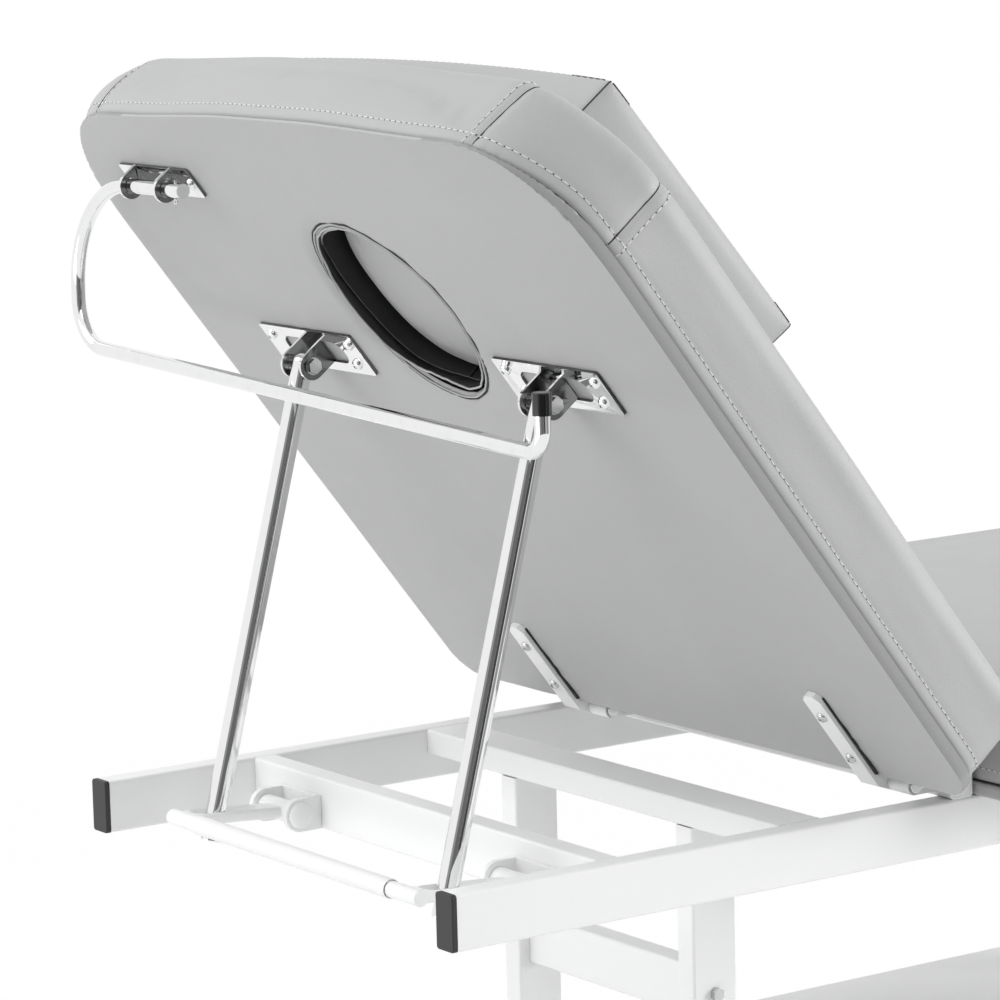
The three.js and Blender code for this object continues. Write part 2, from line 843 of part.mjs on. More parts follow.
function bailPath() {
  const path = new THREE.CurvePath();
  const at = (y, z) => new THREE.Vector3(0, y, z);
  const line = (a, b) => path.add(new THREE.LineCurve3(a, b));
  const arc = (a, corner, b) => path.add(new THREE.QuadraticBezierCurve3(a, corner, b));
  const outerY = paperSideY + ringSpread / 2 + ringThick + bailBendLarge;
  const lowZ = -bailDepth;
  const fall = bailSag / (outerY - bailBendSmall - bailFreeY);
  const zAt = (y) => lowZ - fall * (outerY - bailBendSmall - y);
  const diagonal = Math.SQRT1_2;
  const roundBend = (cy, cz, radius, from, to) => {
    const steps = 2;
    for (let i = 0; i < steps; i += 1) {
      const [a0, a1] = [from + (to - from) * i / steps, from + (to - from) * (i + 1) / steps];
      const mid = (a0 + a1) / 2;
      const far = radius / Math.cos((a1 - a0) / 2);
      arc(
        at(cy + radius * Math.cos(a0), cz + radius * Math.sin(a0)),
        at(cy + far * Math.cos(mid), cz + far * Math.sin(mid)),
        at(cy + radius * Math.cos(a1), cz + radius * Math.sin(a1)),
      );
    }
  };
  line(at(bailInnerEnd, 0), at(outerY - bailBendLarge, 0));
  roundBend(outerY - bailBendLarge, -bailBendLarge, bailBendLarge, Math.PI / 2, 0);
  line(at(outerY, -bailBendLarge), at(outerY, bailBendSmall - bailDepth));
  roundBend(outerY - bailBendSmall, bailBendSmall - bailDepth, bailBendSmall, 0, -Math.PI / 2);
  const turnY = bailFreeY + bailFreeBend;
  line(at(outerY - bailBendSmall, lowZ), at(turnY, zAt(turnY)));
  const foot = zAt(turnY);
  arc(
    at(turnY, foot),
    at(bailFreeY + bailFreeBend * (1 - diagonal) / 2, foot - bailRadius / 2),
    at(bailFreeY, foot + bailFreeBend),
  );
  line(at(bailFreeY, foot + bailFreeBend), at(bailFreeY, foot + bailFreeRise));
  return { path, end: foot + bailFreeRise };
}

function bail() {
  const { path } = bailPath();
  const points = path.curves.flatMap((curve, index) => {
    const steps = curve.isLineCurve3 ? 1 : bendSteps;
    const list = curve.getPoints(steps);
    return index === 0 ? list : list.slice(1);
  });
  return sweep(points, bailRadius, bailSides);
}

// A round bar through points in the Y-Z plane, with a ring of the section on each bend's bisector
function sweep(points, radius, sides) {
  const rings = points.map((p, i) => {
    const before = points[Math.max(i - 1, 0)];
    const after = points[Math.min(i + 1, points.length - 1)];
    const into = p.clone().sub(before).normalize();
    const out = after.clone().sub(p).normalize();
    const along = into.add(out).normalize();
    const across = new THREE.Vector3(1, 0, 0);
    const third = new THREE.Vector3().crossVectors(along, across);
    const ring = [];
    for (let k = 0; k < sides; k += 1) {
      const angle = (k / sides) * 2 * Math.PI;
      const point = p.clone().addScaledVector(across, radius * Math.cos(angle));
      ring.push(point.addScaledVector(third, radius * Math.sin(angle)));
    }
    return ring;
  });
  return padSolid(rings);
}

function bailWithHole() {
  const hole = rodAlongZ(splitPinRadius + seam, -2 * bailRadius, 2 * bailRadius, 0, splitPinY, boltSteps);
  return cut(bail(), hole);
}

function bailCap() {
  const { end } = bailPath();
  const inner = bailRadius + seam;
  const profile = new THREE.Shape();
  profile.moveTo(0, end + seam);
  profile.lineTo(inner, end + seam);
  profile.lineTo(inner, end + bailCapThick - bailCapLength);
  profile.lineTo(bailCapRadius, end + bailCapThick - bailCapLength);
  profile.lineTo(bailCapRadius, end);
  profile.quadraticCurveTo(bailCapRadius, end + bailCapRadius / 2, 0, end + bailCapRadius / 2);
  profile.closePath();
  const cap = new THREE.LatheGeometry(profile.getPoints(profileSteps), roundSteps);
  return cap.rotateX(Math.PI / 2).translate(0, bailFreeY, 0);
}

function splitPin() {
  const low = -splitPinLength / 2;
  const leg = rodAlongZ(splitPinRadius, low, -low, 0, splitPinY, boltSteps);
  const eye = new THREE.TorusGeometry(splitEyeRadius, splitPinRadius, boltSteps / 2, boltSteps);
  eye.rotateY(Math.PI / 2).translate(0, splitPinY, low - splitEyeRadius);
  return join(leg, eye);
}

// Rods, drawn hanging down from their pivot at the origin, with a stop pin pressed in near the end

function rodHangs(side, length) {
  const y = side * strutY;
  const profile = [
    new THREE.Vector2(0, -length),
    new THREE.Vector2(rodRadius - rodChamfer, -length),
    new THREE.Vector2(rodRadius, rodChamfer - length),
    new THREE.Vector2(rodRadius, 0),
    new THREE.Vector2(0, 0),
  ];
  const bar = new THREE.LatheGeometry(profile, roundSteps).rotateX(Math.PI / 2).translate(0, y, 0);
  const boss = rodAlongY(rodBossRadius, y - rodBossLength / 2, y + rodBossLength / 2, 0, 0);
  const bore = rodAlongY(boltShank + boreFit, y - rodBossLength, y + rodBossLength, 0, 0);
  const reach = rodRadius + stopPinReach;
  const pin = rodAlongY(stopPinRadius, y - reach, y + reach, 0, stopPinDistance - length, boltSteps);
  return cut(join(bar, boss, pin), bore);
}

// Release frame, drawn level with its pivot at the origin and its grip bar towards the head

function releaseFrame() {
  const arms = [-1, 1].map((side) => {
    const y = side * strutY;
    const section = roundedRectangle(releaseArmWidth, releaseArmThick, releaseArmCorner);
    return extrude(section, releaseReach, cornerSteps)
      .rotateX(Math.PI / 2).rotateZ(Math.PI / 2).translate(-releaseReach, y, 0);
  });
  const hubs = [-1, 1].map((side) => {
    const y = side * strutY;
    const half = clevisInner / 2 - 2 * seam;
    return rodAlongY(hubRadius, y - half, y + half, 0, 0);
  });
  const barEnd = strutY + releaseArmWidth / 2;
  const bar = rodAlongY(gripBarRadius, -barEnd, barEnd, -releaseReach, 0);
  const slots = [-1, 1].map((side) => {
    const half = (slotEnd - slotStart) / 2;
    const shape = roundedRectangle(2 * half, slotWidth, slotWidth / 2 - seam);
    return extrude(shape, 2 * releaseArmThick, profileSteps)
      .translate(-slotStart - half, side * strutY, -releaseArmThick);
  });
  const bores = [-1, 1].map((side) => {
    const y = side * strutY;
    return rodAlongY(releasePinRadius + boreFit, y - clevisInner, y + clevisInner, 0, 0);
  });
  return cut(join(...arms, ...hubs, bar), ...slots, ...bores);
}

function grip() {
  const half = gripLength / 2;
  const outer = rodAlongY(gripRadius, -half, half, -releaseReach, 0);
  return cut(outer, rodAlongY(gripBarRadius + gripFit, -gripLength, gripLength, -releaseReach, 0));
}

// Clevises on the head side of the stop tube, drawn with the release axis at the origin

function clevis(side) {
  const y = side * strutY;
  const face = stopTubeX - releaseX - seam;
  const outer = clevisInner / 2 + clevisEarThick;
  const plate = block(face - clevisPlateThick, face, y - outer, y + outer, -clevisRadius, clevisRadius);
  const ears = [-1, 1].map((end) => {
    const [y0, y1] = [end * clevisInner / 2, end * outer].sort((a, b) => a - b);
    const shape = new THREE.Shape();
    shape.moveTo(face - clevisPlateThick / 2, -clevisRadius);
    shape.lineTo(face - clevisPlateThick / 2, clevisRadius);
    shape.lineTo(0, clevisRadius);
    shape.absarc(0, 0, clevisRadius, Math.PI / 2, 1.5 * Math.PI);
    shape.closePath();
    return extrudeAlongY(shape, y + y0, y + y1);
  });
  const bore = rodAlongY(releasePinRadius + boreFit, y - 2 * outer, y + 2 * outer, 0, 0);
  return cut(join(plate, ...ears), bore);
}

function releasePin(side) {
  const face = clevisInner / 2 + clevisEarThick + seam;
  const profile = new THREE.Shape();
  profile.moveTo(0, -face - releaseCapHeight);
  profile.quadraticCurveTo(releaseCapRadius, -face - releaseCapHeight, releaseCapRadius, -face - seam);
  profile.lineTo(releaseCapRadius, -face);
  profile.lineTo(releasePinRadius, -face);
  profile.lineTo(releasePinRadius, face);
  profile.lineTo(releaseCapRadius, face);
  profile.lineTo(releaseCapRadius, face + seam);
  profile.quadraticCurveTo(releaseCapRadius, face + releaseCapHeight, 0, face + releaseCapHeight);
  const pin = new THREE.LatheGeometry(profile.getPoints(profileSteps), roundSteps);
  return pin.translate(0, side * strutY, 0);
}

// Seat and leg section

function seatOutline(inset, drawnIn) {
  const radii = [smallCornerRadius - inset, cornerRadius - inset];
  return oblongRing(seatHeadX + inset, seatEndX - inset, bedWidth / 2 - inset, ...radii, drawnIn);
}

function middleRing(like) {
  return like.map(() => new THREE.Vector2((seatHeadX + seatEndX) / 2, 0));
}

function seatBoard() {
  const low = railTop + seam;
  const outer = boardRings(seatOutline, low);
  const flat = seatOutline(boardFlatInset, 0);
  const nearly = 0.95;
  const inner = between(flat, middleRing(flat), nearly);
  return padSolid([level(inner, low), ...outer, level(inner, low + boardThick)]);
}

function seatCushion() {
  const low = railTop + seam + boardThick + seam;
  const high = railTop + seatThick;
  const rings = sideRings(seatOutline, low, high, edgeRadius);
  const flat = seatOutline(swell + edgeRadius, 0);
  const middle = middleRing(flat);
  const shares = [0.2, 0.5, 0.8, 0.97];
  const top = shares.map((share) => (
    level(between(flat, middle, share), high + crown * Math.sin(share * Math.PI / 2))
  ));
  const under = level(between(seatOutline(swell, 0), middle, shares[3]), low);
  return padSolid([under, ...rings, ...top]);
}

// Assembly

function piece(name, geometry, finish) {
  const mesh = new THREE.Mesh(geometry, new THREE.MeshStandardMaterial(finish));
  mesh.name = name;
  return mesh;
}

const bed = new THREE.Group();
bed.position.set(-middleX, 0, 0);

bed.add(
  piece('side_rail_near', sideRail(-1), whitePaint),
  piece('side_rail_far', sideRail(1), whitePaint),
  piece('stop_cross_tube', crossTube(stopTubeX, tubeNarrow, tubeWide), whitePaint),
  piece('head_cross_tube', crossTube(headPostX, tubeWide, tubeNarrow), whitePaint),
  piece('leg_cross_tube', crossTube(footPostX, tubeWide, tubeNarrow), whitePaint),
  piece('foot_cross_tube', crossTube(footTubeX, tubeNarrow, tubeWide), whitePaint),
  piece('hinge_cross_tube', hingeTube(), whitePaint),
  piece('rail_cap_head_near', railCap(-1, -1), blackPlastic),
  piece('rail_cap_head_far', railCap(1, -1), blackPlastic),
  piece('rail_cap_foot_near', railCap(-1, 1), blackPlastic),
  piece('rail_cap_foot_far', railCap(1, 1), blackPlastic),
  piece('post_head_near', post(headPostMid, -1), whitePaint),
  piece('post_head_far', post(headPostMid, 1), whitePaint),
  piece('post_foot_near', post(footPostMid, -1), whitePaint),
  piece('post_foot_far', post(footPostMid, 1), whitePaint),
  piece('post_member_head', lowerMember(headPostMid), whitePaint),
  piece('post_member_foot', lowerMember(footPostMid), whitePaint),
  piece('post_tie_bolt_head', tieBolt(headPostMid), zincSteel),
  piece('post_tie_bolt_foot', tieBolt(footPostMid), zincSteel),
);

const [halfDepth, nearBack] = [cabinetDepth / 2, cabinetDepth / 2 - backPanelInset];
const cabinetMiddle = (cabinetHeadX + cabinetFootX) / 2;
const [bayHead, bayFoot] = [cabinetHeadX + panelThick, cabinetFootX - panelThick];
bed.add(
  piece('cabinet_top', cabinetTopPanel(), whiteBoard),
  piece('cabinet_bottom', cabinetBottomPanel(), whiteBoard),
  piece('cabinet_end_head', uprightPanel(cabinetHeadX, bayHead, -halfDepth, halfDepth), whiteBoard),
  piece('cabinet_end_foot', uprightPanel(bayFoot, cabinetFootX, -halfDepth, halfDepth), whiteBoard),
  piece('cabinet_back', uprightPanel(
    bayHead + seam,
    bayFoot - seam,
    nearBack - backPanelThick,
    nearBack,
  ), whiteBoard),
  piece('cabinet_divider', uprightPanel(
    cabinetMiddle - panelThick / 2,
    cabinetMiddle + panelThick / 2,
    -halfDepth,
    nearBack - backPanelThick - seam,
  ), whiteBoard),
  piece('cabinet_plinth', plinth(), blackPlastic),
  piece('door_hinge_head', doorHinge(-1), zincSteel),
  piece('door_hinge_foot', doorHinge(1), zincSteel),
  piece('door_head', door(-1), whiteBoard),
  piece('door_foot', door(1), whiteBoard),
  piece('door_handle_head', doorHandle(-1), chromeSteel),
  piece('door_handle_foot', doorHandle(1), chromeSteel),
);

bed.add(
  piece('seat_board', seatBoard(), greyLeather),
  piece('seat_cushion', seatCushion(), greyLeather),
);

const lugs = new THREE.Group();
lugs.position.set(hingeX, 0, hingeZ);
lugs.add(
  piece('hinge_lug_near', hingeLug(armNearY), whitePaint),
  piece('hinge_lug_far', hingeLug(armFarY), whitePaint),
  piece('hinge_pin_near', hingePin(armNearY), zincSteel),
  piece('hinge_pin_far', hingePin(armFarY), zincSteel),
);
bed.add(lugs);

const backrest = new THREE.Group();
backrest.position.set(hingeX, 0, hingeZ);
backrest.rotation.y = backAngle;
backrest.add(
  piece('backrest_board', backBoard(), greyLeather),
  piece('backrest_cushion', backCushion(), greyLeather),
  piece('face_hole_lining', holeLining(), darkLining),
  piece('head_pillow', pillow(), greyLeather),
  piece('strut_bracket_near', strutBracket(-1), chromeSteel),
  piece('strut_bracket_far', strutBracket(1), chromeSteel),
  piece('strut_bolt_near', pivotBolt(-1), zincSteel),
  piece('strut_bolt_far', pivotBolt(1), zincSteel),
  piece('hinge_arm_near', hingeArm(armNearY), whitePaint),
  piece('hinge_arm_far', hingeArm(armFarY), whitePaint),
  piece('paper_bracket', paperBracket(), chromeSteel),
);
bed.add(backrest);

// A point of the backrest, given flat, at its place in the raised bed
function raised(x, z) {
  const [c, s] = [Math.cos(backAngle), Math.sin(backAngle)];
  return [hingeX + x * c + z * s, hingeZ - x * s + z * c];
}

const tilt = THREE.MathUtils.degToRad(releaseTilt);
const [pivotX, pivotHigh] = raised(-bracketDistance, pivotZ);
const holeX = releaseX - releaseRodReach * Math.cos(tilt);
const holeZ = releaseZ + releaseRodReach * Math.sin(tilt);
const rodLean = Math.atan2(pivotX - holeX, pivotHigh - holeZ);
const rodLength = Math.hypot(pivotX - holeX, pivotHigh - holeZ) + rodReach;

const rods = new THREE.Group();
rods.position.set(pivotX, 0, pivotHigh);
rods.rotation.y = rodLean;
rods.add(
  piece('support_rod_near', rodHangs(-1, rodLength), chromeSteel),
  piece('support_rod_far', rodHangs(1, rodLength), chromeSteel),
);
bed.add(rods);

const release = new THREE.Group();
release.position.set(releaseX, 0, releaseZ);
release.rotation.y = tilt;
release.add(
  piece('release_frame', releaseFrame(), whitePaint),
  piece('release_grip', grip(), whitePlastic),
);
bed.add(release);

const clevises = new THREE.Group();
clevises.position.set(releaseX, 0, releaseZ);
clevises.add(
  piece('clevis_near', clevis(-1), whitePaint),
  piece('clevis_far', clevis(1), whitePaint),
  piece('release_pin_near', releasePin(-1), whitePlastic),
  piece('release_pin_far', releasePin(1), whitePlastic),
);
bed.add(clevises);

const [bailX, bailZ] = raised(bailAxisX, bailAxisZ);
const bailGroup = new THREE.Group();
bailGroup.position.set(bailX, 0, bailZ);
bailGroup.add(
  piece('paper_bail', bailWithHole(), chromeSteel),
  piece('bail_end_cap', bailCap(), blackPlastic),
  piece('bail_split_pin', splitPin(), zincSteel),
);
bed.add(bailGroup);

const whole = new THREE.Group();
whole.add(bed);
export default whole;
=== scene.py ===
# %% [markdown]
# # A spa bed with its backrest up
# The real object is a treatment bed: a white tube frame, a padded seat, and a padded backrest
# that two chrome rods hold up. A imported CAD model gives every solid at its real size, and this
# script dresses it. It could be dressed by giving the solids materials only, but steel tube has
# soft corners, leather swells between its seams, and screws and stitches are too small for CAD.
# So each visible piece is modelled again here, a little finer, in the place that CAD gives it.

# %% Load the frame
import itertools
from math import atan2, cos, degrees, exp, hypot, pi, radians, sin, sqrt

import bmesh
import bpy
import numpy as np
from mathutils import Matrix, Vector
from mathutils.bvhtree import BVHTree
from mathutils.kdtree import KDTree


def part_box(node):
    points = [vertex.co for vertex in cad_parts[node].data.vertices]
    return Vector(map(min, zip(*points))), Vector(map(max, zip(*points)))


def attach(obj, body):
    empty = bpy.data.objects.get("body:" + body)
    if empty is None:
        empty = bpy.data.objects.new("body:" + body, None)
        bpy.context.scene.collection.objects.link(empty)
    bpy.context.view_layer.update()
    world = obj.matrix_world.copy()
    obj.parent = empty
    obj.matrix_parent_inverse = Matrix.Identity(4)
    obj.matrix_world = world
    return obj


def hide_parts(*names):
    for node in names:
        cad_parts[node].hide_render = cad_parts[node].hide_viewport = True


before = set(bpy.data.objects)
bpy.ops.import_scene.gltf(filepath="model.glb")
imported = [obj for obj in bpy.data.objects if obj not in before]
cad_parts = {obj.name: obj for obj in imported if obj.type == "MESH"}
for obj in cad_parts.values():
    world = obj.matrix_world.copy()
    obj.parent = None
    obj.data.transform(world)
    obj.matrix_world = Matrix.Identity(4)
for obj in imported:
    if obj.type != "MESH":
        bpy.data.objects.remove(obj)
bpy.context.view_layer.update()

scene = bpy.context.scene

# %% [markdown]
# ## The camera
# The photo was taken from past the head end and the near side, a little above the raised
# backrest's top, with a long lens. Its place was found by matching the frame's straight tubes, so
# it is written down as an eye point, a direction and a lens, and not found by eye.

# %% Place the camera
EYE = Vector((-2.81555, -3.28025, 1.5402))
YAW, PITCH, ROLL = radians(55.311), radians(-8.799), radians(-1.442)
LENS = 157.97

forward = Vector((cos(PITCH) * cos(YAW), cos(PITCH) * sin(YAW), sin(PITCH)))
level_right = Vector((sin(YAW), -cos(YAW), 0))
level_up = level_right.cross(forward)
right = cos(ROLL) * level_right + sin(ROLL) * level_up
up = cos(ROLL) * level_up - sin(ROLL) * level_right
lens = bpy.data.cameras.new("photo_camera")
lens.lens = LENS
lens.sensor_fit = "HORIZONTAL"
lens.clip_end = 100
camera = bpy.data.objects.new("photo_camera", lens)
camera.matrix_world = Matrix.Translation(EYE) @ Matrix((right, up, -forward)).transposed().to_4x4()
scene.collection.objects.link(camera)
scene.camera = camera
print("the camera looks along", [round(value, 3) for value in forward])

# %% [markdown]
# ## Sizes that many pieces share
# They are the same numbers as in the CAD source, here in metres. Backrest pieces are modelled
# lying flat, with the hinge axis along Y at the origin and the head end at negative X, because
# flat pieces are easier to think about. `raised` then turns them up to their place, where `BELOW`
# is the direction straight out of the backrest's underside.

# %% Shared sizes
SEAM = 0.0003
RAIL_TOP = 0.650
RAIL_HEAD, RAIL_FOOT = -0.80985, 0.75015
FRAME_HALF = 0.304
TUBE_NARROW, TUBE_WIDE = 0.025, 0.050
HINGE = Vector((-0.30075, 0, 0.6665))
LEAN = radians(52.18)
UNDERSIDE = -0.0095
BOARD = 0.012
BACK_HEAD, BACK_FOOT, BED_HALF = -0.793, -0.0146, 0.400
BACK_TOP = UNDERSIDE + 0.095
HEAD_CORNER, FOOT_CORNER = 0.110, 0.035
HOLE = Vector((-0.564, -0.008, 0))
HOLE_HALF = (0.103, 0.085)
STRUT_X, STRUT_Y, PIVOT_Z = -0.498, 0.194, UNDERSIDE - 0.024
PAPER_X, PAPER_Y = -0.706, 0.254
ARM_Y = {"near": -0.254, "far": 0.208}
SIDES = ((-1, "near"), (1, "far"))
raised = Matrix.Translation(HINGE) @ Matrix.Rotation(LEAN, 4, "Y")
flat_down = raised.inverted()
BELOW = raised.to_3x3() @ Vector((0, 0, -1))
print("the backrest leans back", round(degrees(LEAN), 1), "degrees")

# %% [markdown]
# ## Working as by hand
# A piece starts as a primitive of the right size, is shaped in edit mode, and ends as a mesh at
# the origin with its place baked in. These helpers keep each later cell short: one adds a block,
# one picks edges or faces by a test, one rounds the picked edges, and one bakes the place.

# %% Helpers for selecting and placing
def activate(piece):
    bpy.ops.object.select_all(action="DESELECT")
    piece.select_set(True)
    bpy.context.view_layer.objects.active = piece


def settle(piece, place=None):
    """Bake a piece's place into its mesh."""
    if place is not None:
        piece.matrix_world = place @ piece.matrix_world
    activate(piece)
    bpy.ops.object.transform_apply(location=True, rotation=True, scale=True)
    return piece


def primitive(name, add, stretch=(1, 1, 1), **settings):
    """Add a primitive with one of Blender's own operators, stretch it and bake its place."""
    bpy.ops.object.select_all(action="DESELECT")
    add(**settings)
    piece = bpy.context.active_object
    piece.name = piece.data.name = name
    piece.scale = stretch
    return settle(piece)


def block(name, low, high):
    """A box between two corners."""
    low, high = Vector(low), Vector(high)
    return primitive(name, bpy.ops.mesh.primitive_cube_add, high - low, size=1, location=(low + high) / 2)


def drum(name, radius, start, end, sides=40):
    """A cylinder from one point to another."""
    start, end = Vector(start), Vector(end)
    turn = (end - start).to_track_quat("Z", "Y").to_euler()
    return primitive(name, bpy.ops.mesh.primitive_cylinder_add, vertices=sides, radius=radius,
                     depth=(end - start).length, location=(start + end) / 2, rotation=turn)


def pick(piece, kind, passes):
    """Enter edit mode and select the edges or the faces that pass a test."""
    activate(piece)
    bpy.ops.object.mode_set(mode="EDIT")
    bpy.ops.mesh.select_mode(type=kind)
    bpy.ops.mesh.select_all(action="DESELECT")
    mesh = bmesh.from_edit_mesh(piece.data)
    for part in mesh.edges if kind == "EDGE" else mesh.faces:
        part.select_set(bool(passes(part)))
    bmesh.update_edit_mesh(piece.data)


def pick_edges(piece, test):
    """Select the edges whose two ends pass the test."""
    pick(piece, "EDGE", lambda edge: test(edge.verts[0].co, edge.verts[1].co))


def pick_faces(piece, test=lambda middle, normal: True):
    """Select the faces whose middle and normal pass the test, or all of them."""
    pick(piece, "FACE", lambda face: test(face.calc_center_median(), face.normal))


def leave_edit():
    bpy.ops.object.mode_set(mode="OBJECT")


def runs(axis, where=lambda middle: True):
    """A test for edges that run along an axis, at places that pass a second test."""
    def test(a, b):
        along = (b - a).normalized()
        return abs(along[axis]) > 0.999 and where((a + b) / 2)
    return test


def rim(level, axis=2):
    """A test for edges that lie in one plane across an axis."""
    return lambda a, b: abs(a[axis] - level) < 1e-6 and abs(b[axis] - level) < 1e-6


def round_edges(piece, test, radius, steps=4):
    pick_edges(piece, test)
    bpy.ops.mesh.bevel(offset_type="OFFSET", offset=radius, segments=steps, affect="EDGES",
                       clamp_overlap=True)
    leave_edit()
    return piece


def apply_all(piece):
    activate(piece)
    for modifier in list(piece.modifiers):
        bpy.ops.object.modifier_apply(modifier=modifier.name)


def ease(piece, width, steps=2, angle=35):
    """Soften every sharp edge a little, as on any real piece."""
    bevel = piece.modifiers.new("eased_edges", "BEVEL")
    bevel.width = width
    bevel.segments = steps
    bevel.limit_method = "ANGLE"
    bevel.angle_limit = radians(angle)
    bevel.harden_normals = False
    apply_all(piece)
    return crisp(piece)


def smooth(piece, angle=40):
    activate(piece)
    bpy.ops.object.shade_smooth_by_angle(angle=radians(angle))
    return piece


def crisp(piece, angle=40):
    """Smooth shading in which large flat faces stay flat."""
    smooth(piece, angle)
    weighted = piece.modifiers.new("flat_faces", "WEIGHTED_NORMAL")
    weighted.keep_sharp = True
    apply_all(piece)
    return piece


def combine(piece, other, operation):
    """Add another solid to this one, or take it away, and drop the other."""
    change = piece.modifiers.new(operation.lower(), "BOOLEAN")
    change.operation = operation
    change.solver = "EXACT"
    change.object = other
    apply_all(piece)
    bpy.data.objects.remove(other)
    return piece


def cut(piece, *cutters):
    for cutter in cutters:
        combine(piece, cutter, "DIFFERENCE")
    return piece


def weld(piece, *others):
    for other in others:
        combine(piece, other, "UNION")
    return piece


def tone(piece, material, test):
    """A second material for the faces whose middle and normal pass the test."""
    piece.data.materials.append(material)
    pick_faces(piece, test)
    piece.active_material_index = len(piece.data.materials) - 1
    bpy.ops.object.material_slot_assign()
    leave_edit()


def copy_of(piece, name, place):
    """A copy with a mesh of its own, moved to its place."""
    twin = piece.copy()
    twin.data = piece.data.copy()
    twin.name = twin.data.name = name
    scene.collection.objects.link(twin)
    return settle(twin, place)


def joined(name, pieces):
    """Join several pieces into the first of them."""
    activate(pieces[0])
    for piece in pieces[1:]:
        piece.select_set(True)
    bpy.ops.object.join()
    pieces[0].name = name
    return pieces[0]


def finish(piece, material, body, slot, *nodes):
    """Give a piece its material, its body and the CAD nodes that it stands for."""
    piece.data.materials.clear()
    piece.data.materials.append(material)
    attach(piece, body)
    if nodes:
        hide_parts(*nodes)
    print(f"{piece.name}: {len(piece.data.polygons)} faces")
    return piece

# %% [markdown]
# ## Shader sums written as Python
# A finish is a small sum: how much noise, how deep a grain. Wiring each sum by hand hides it,
# so `Level` wraps a socket that carries a number, and Python's own signs add the Math nodes.
# Colours never go through a Math node, because it would turn them grey.

# %% A socket that can be summed
class Level:
    def __init__(self, finish, socket):
        self.finish, self.socket = finish, socket

    def sum(self, operation, first, second):
        return self.finish.add("ShaderNodeMath", {"operation": operation}, [first, second])

    def __add__(self, other):
        return self.sum("ADD", self, other)

    __radd__ = __add__

    def __mul__(self, other):
        return self.sum("MULTIPLY", self, other)

    __rmul__ = __mul__

    def __rsub__(self, other):
        return self.sum("SUBTRACT", other, self)

    def over(self, low, high):
        """0 below one level, 1 above another, and smooth between them."""
        settings = {"interpolation_type": "SMOOTHSTEP"}
        values = {"Value": self, "From Min": low, "From Max": high}
        return self.finish.add("ShaderNodeMapRange", settings, values)


class Finish:
    """A material, with one method that adds any node."""

    def __init__(self, name, colour, roughness, metallic=0.0):
        self.material = bpy.data.materials.new(name)
        self.material.use_nodes = True
        self.tree = self.material.node_tree
        self.surface = self.tree.nodes["Principled BSDF"].inputs
        self.surface["Base Color"].default_value = (*colour, 1)
        self.surface["Roughness"].default_value = roughness
        self.surface["Metallic"].default_value = metallic
        self.place = self.add("ShaderNodeTexCoord", out="Object")
        self.height = None

    def add(self, kind, settings=None, values=None, out=0):
        node = self.tree.nodes.new(kind)
        for key, value in (settings or {}).items():
            setattr(node, key, value)
        pairs = values.items() if isinstance(values, dict) else enumerate(values or [])
        for key, value in pairs:
            if isinstance(value, Level):
                self.tree.links.new(value.socket, node.inputs[key])
            else:
                node.inputs[key].default_value = value
        return Level(self, node.outputs[out])

    def noise(self, scale, detail=2.0):
        return self.add("ShaderNodeTexNoise", None, {"Vector": self.place, "Scale": scale, "Detail": detail})

    def cells(self, scale):
        """Small round cells that flow into each other."""
        values = {"Vector": self.place, "Scale": scale}
        return self.add("ShaderNodeTexVoronoi", {"feature": "SMOOTH_F1"}, values)

    def tint(self, share, colour):
        """Mix another colour into the base colour by a share from 0 to 1."""
        mix = self.tree.nodes.new("ShaderNodeMix")
        mix.data_type = "RGBA"
        self.tree.links.new(share.socket, mix.inputs[0])
        base = self.surface["Base Color"]
        if base.links:
            self.tree.links.new(base.links[0].from_socket, mix.inputs[6])
        else:
            mix.inputs[6].default_value = base.default_value
        mix.inputs[7].default_value = (*colour, 1)
        self.tree.links.new(mix.outputs[2], base)

    def feed(self, name, level):
        self.tree.links.new(level.socket, self.surface[name])

    def relief(self, height, depth, strength=1.0):
        """Bump the surface by a height from 0 to 1 that stands for a depth in metres."""
        values = {"Height": height, "Distance": depth, "Strength": strength}
        if self.height:
            values["Normal"] = self.height
        self.height = self.add("ShaderNodeBump", None, values)
        self.feed("Normal", self.height)

# %% [markdown]
# ## Leather
# The cover is a pale grey artificial leather with a fine pebble grain, a soft gloss, and a tone
# that drifts a little over a whole panel. Grain could be modelled, but it is only a tenth of a
# millimetre deep, so it is relief: small cells for the pebbles, finer noise in them, and a slow
# noise that is the slackness of the sheet. The board under the backrest is wrapped in a duller
# sheet of the same grain and nearly the same grey, which looks darker in its own shade. Where it
# is stretched round the board's upright edge, a darker grey is painted on it as shade.

# %% Leather finishes
def leather(name, colour, shine, slack=0.0006):
    made = Finish(name, colour, shine)
    drift = made.noise(3.5, 3.0)
    pebbles = made.cells(780.0)
    fine = made.noise(2400.0, 2.0)
    made.tint(drift.over(0.30, 0.75) * 0.5, [value * 0.93 for value in colour])
    made.tint((1 - pebbles.over(0.0, 0.45)) * 0.16, [value * 0.62 for value in colour])
    made.feed("Roughness", shine - 0.05 + 0.12 * made.noise(26.0, 3.0) + 0.06 * fine)
    made.relief(made.noise(7.0, 2.0), slack)
    made.relief(pebbles, 0.00022, 0.55)
    made.relief(fine, 0.00006, 0.5)
    return made.material


cover_leather = leather("cover_leather", (0.430, 0.431, 0.432), 0.44)
board_leather = leather("board_leather", (0.445, 0.446, 0.447), 0.50, 0.0004)
# Painted shade: a darker grey for the board's upright edge.
edge_painted_shade = leather("edge_painted_shade", (0.305, 0.306, 0.307), 0.52, 0.0004)
print("three leathers made")

# %% [markdown]
# ## Painted steel and plastics
# Powder paint flows as it bakes and sets with a faint orange peel, so it gets a soft relief about
# a millimetre and a half across, and a roughness that drifts. The dark caps are moulded with a
# fine matt texture. The grip is a smooth white plastic tube.

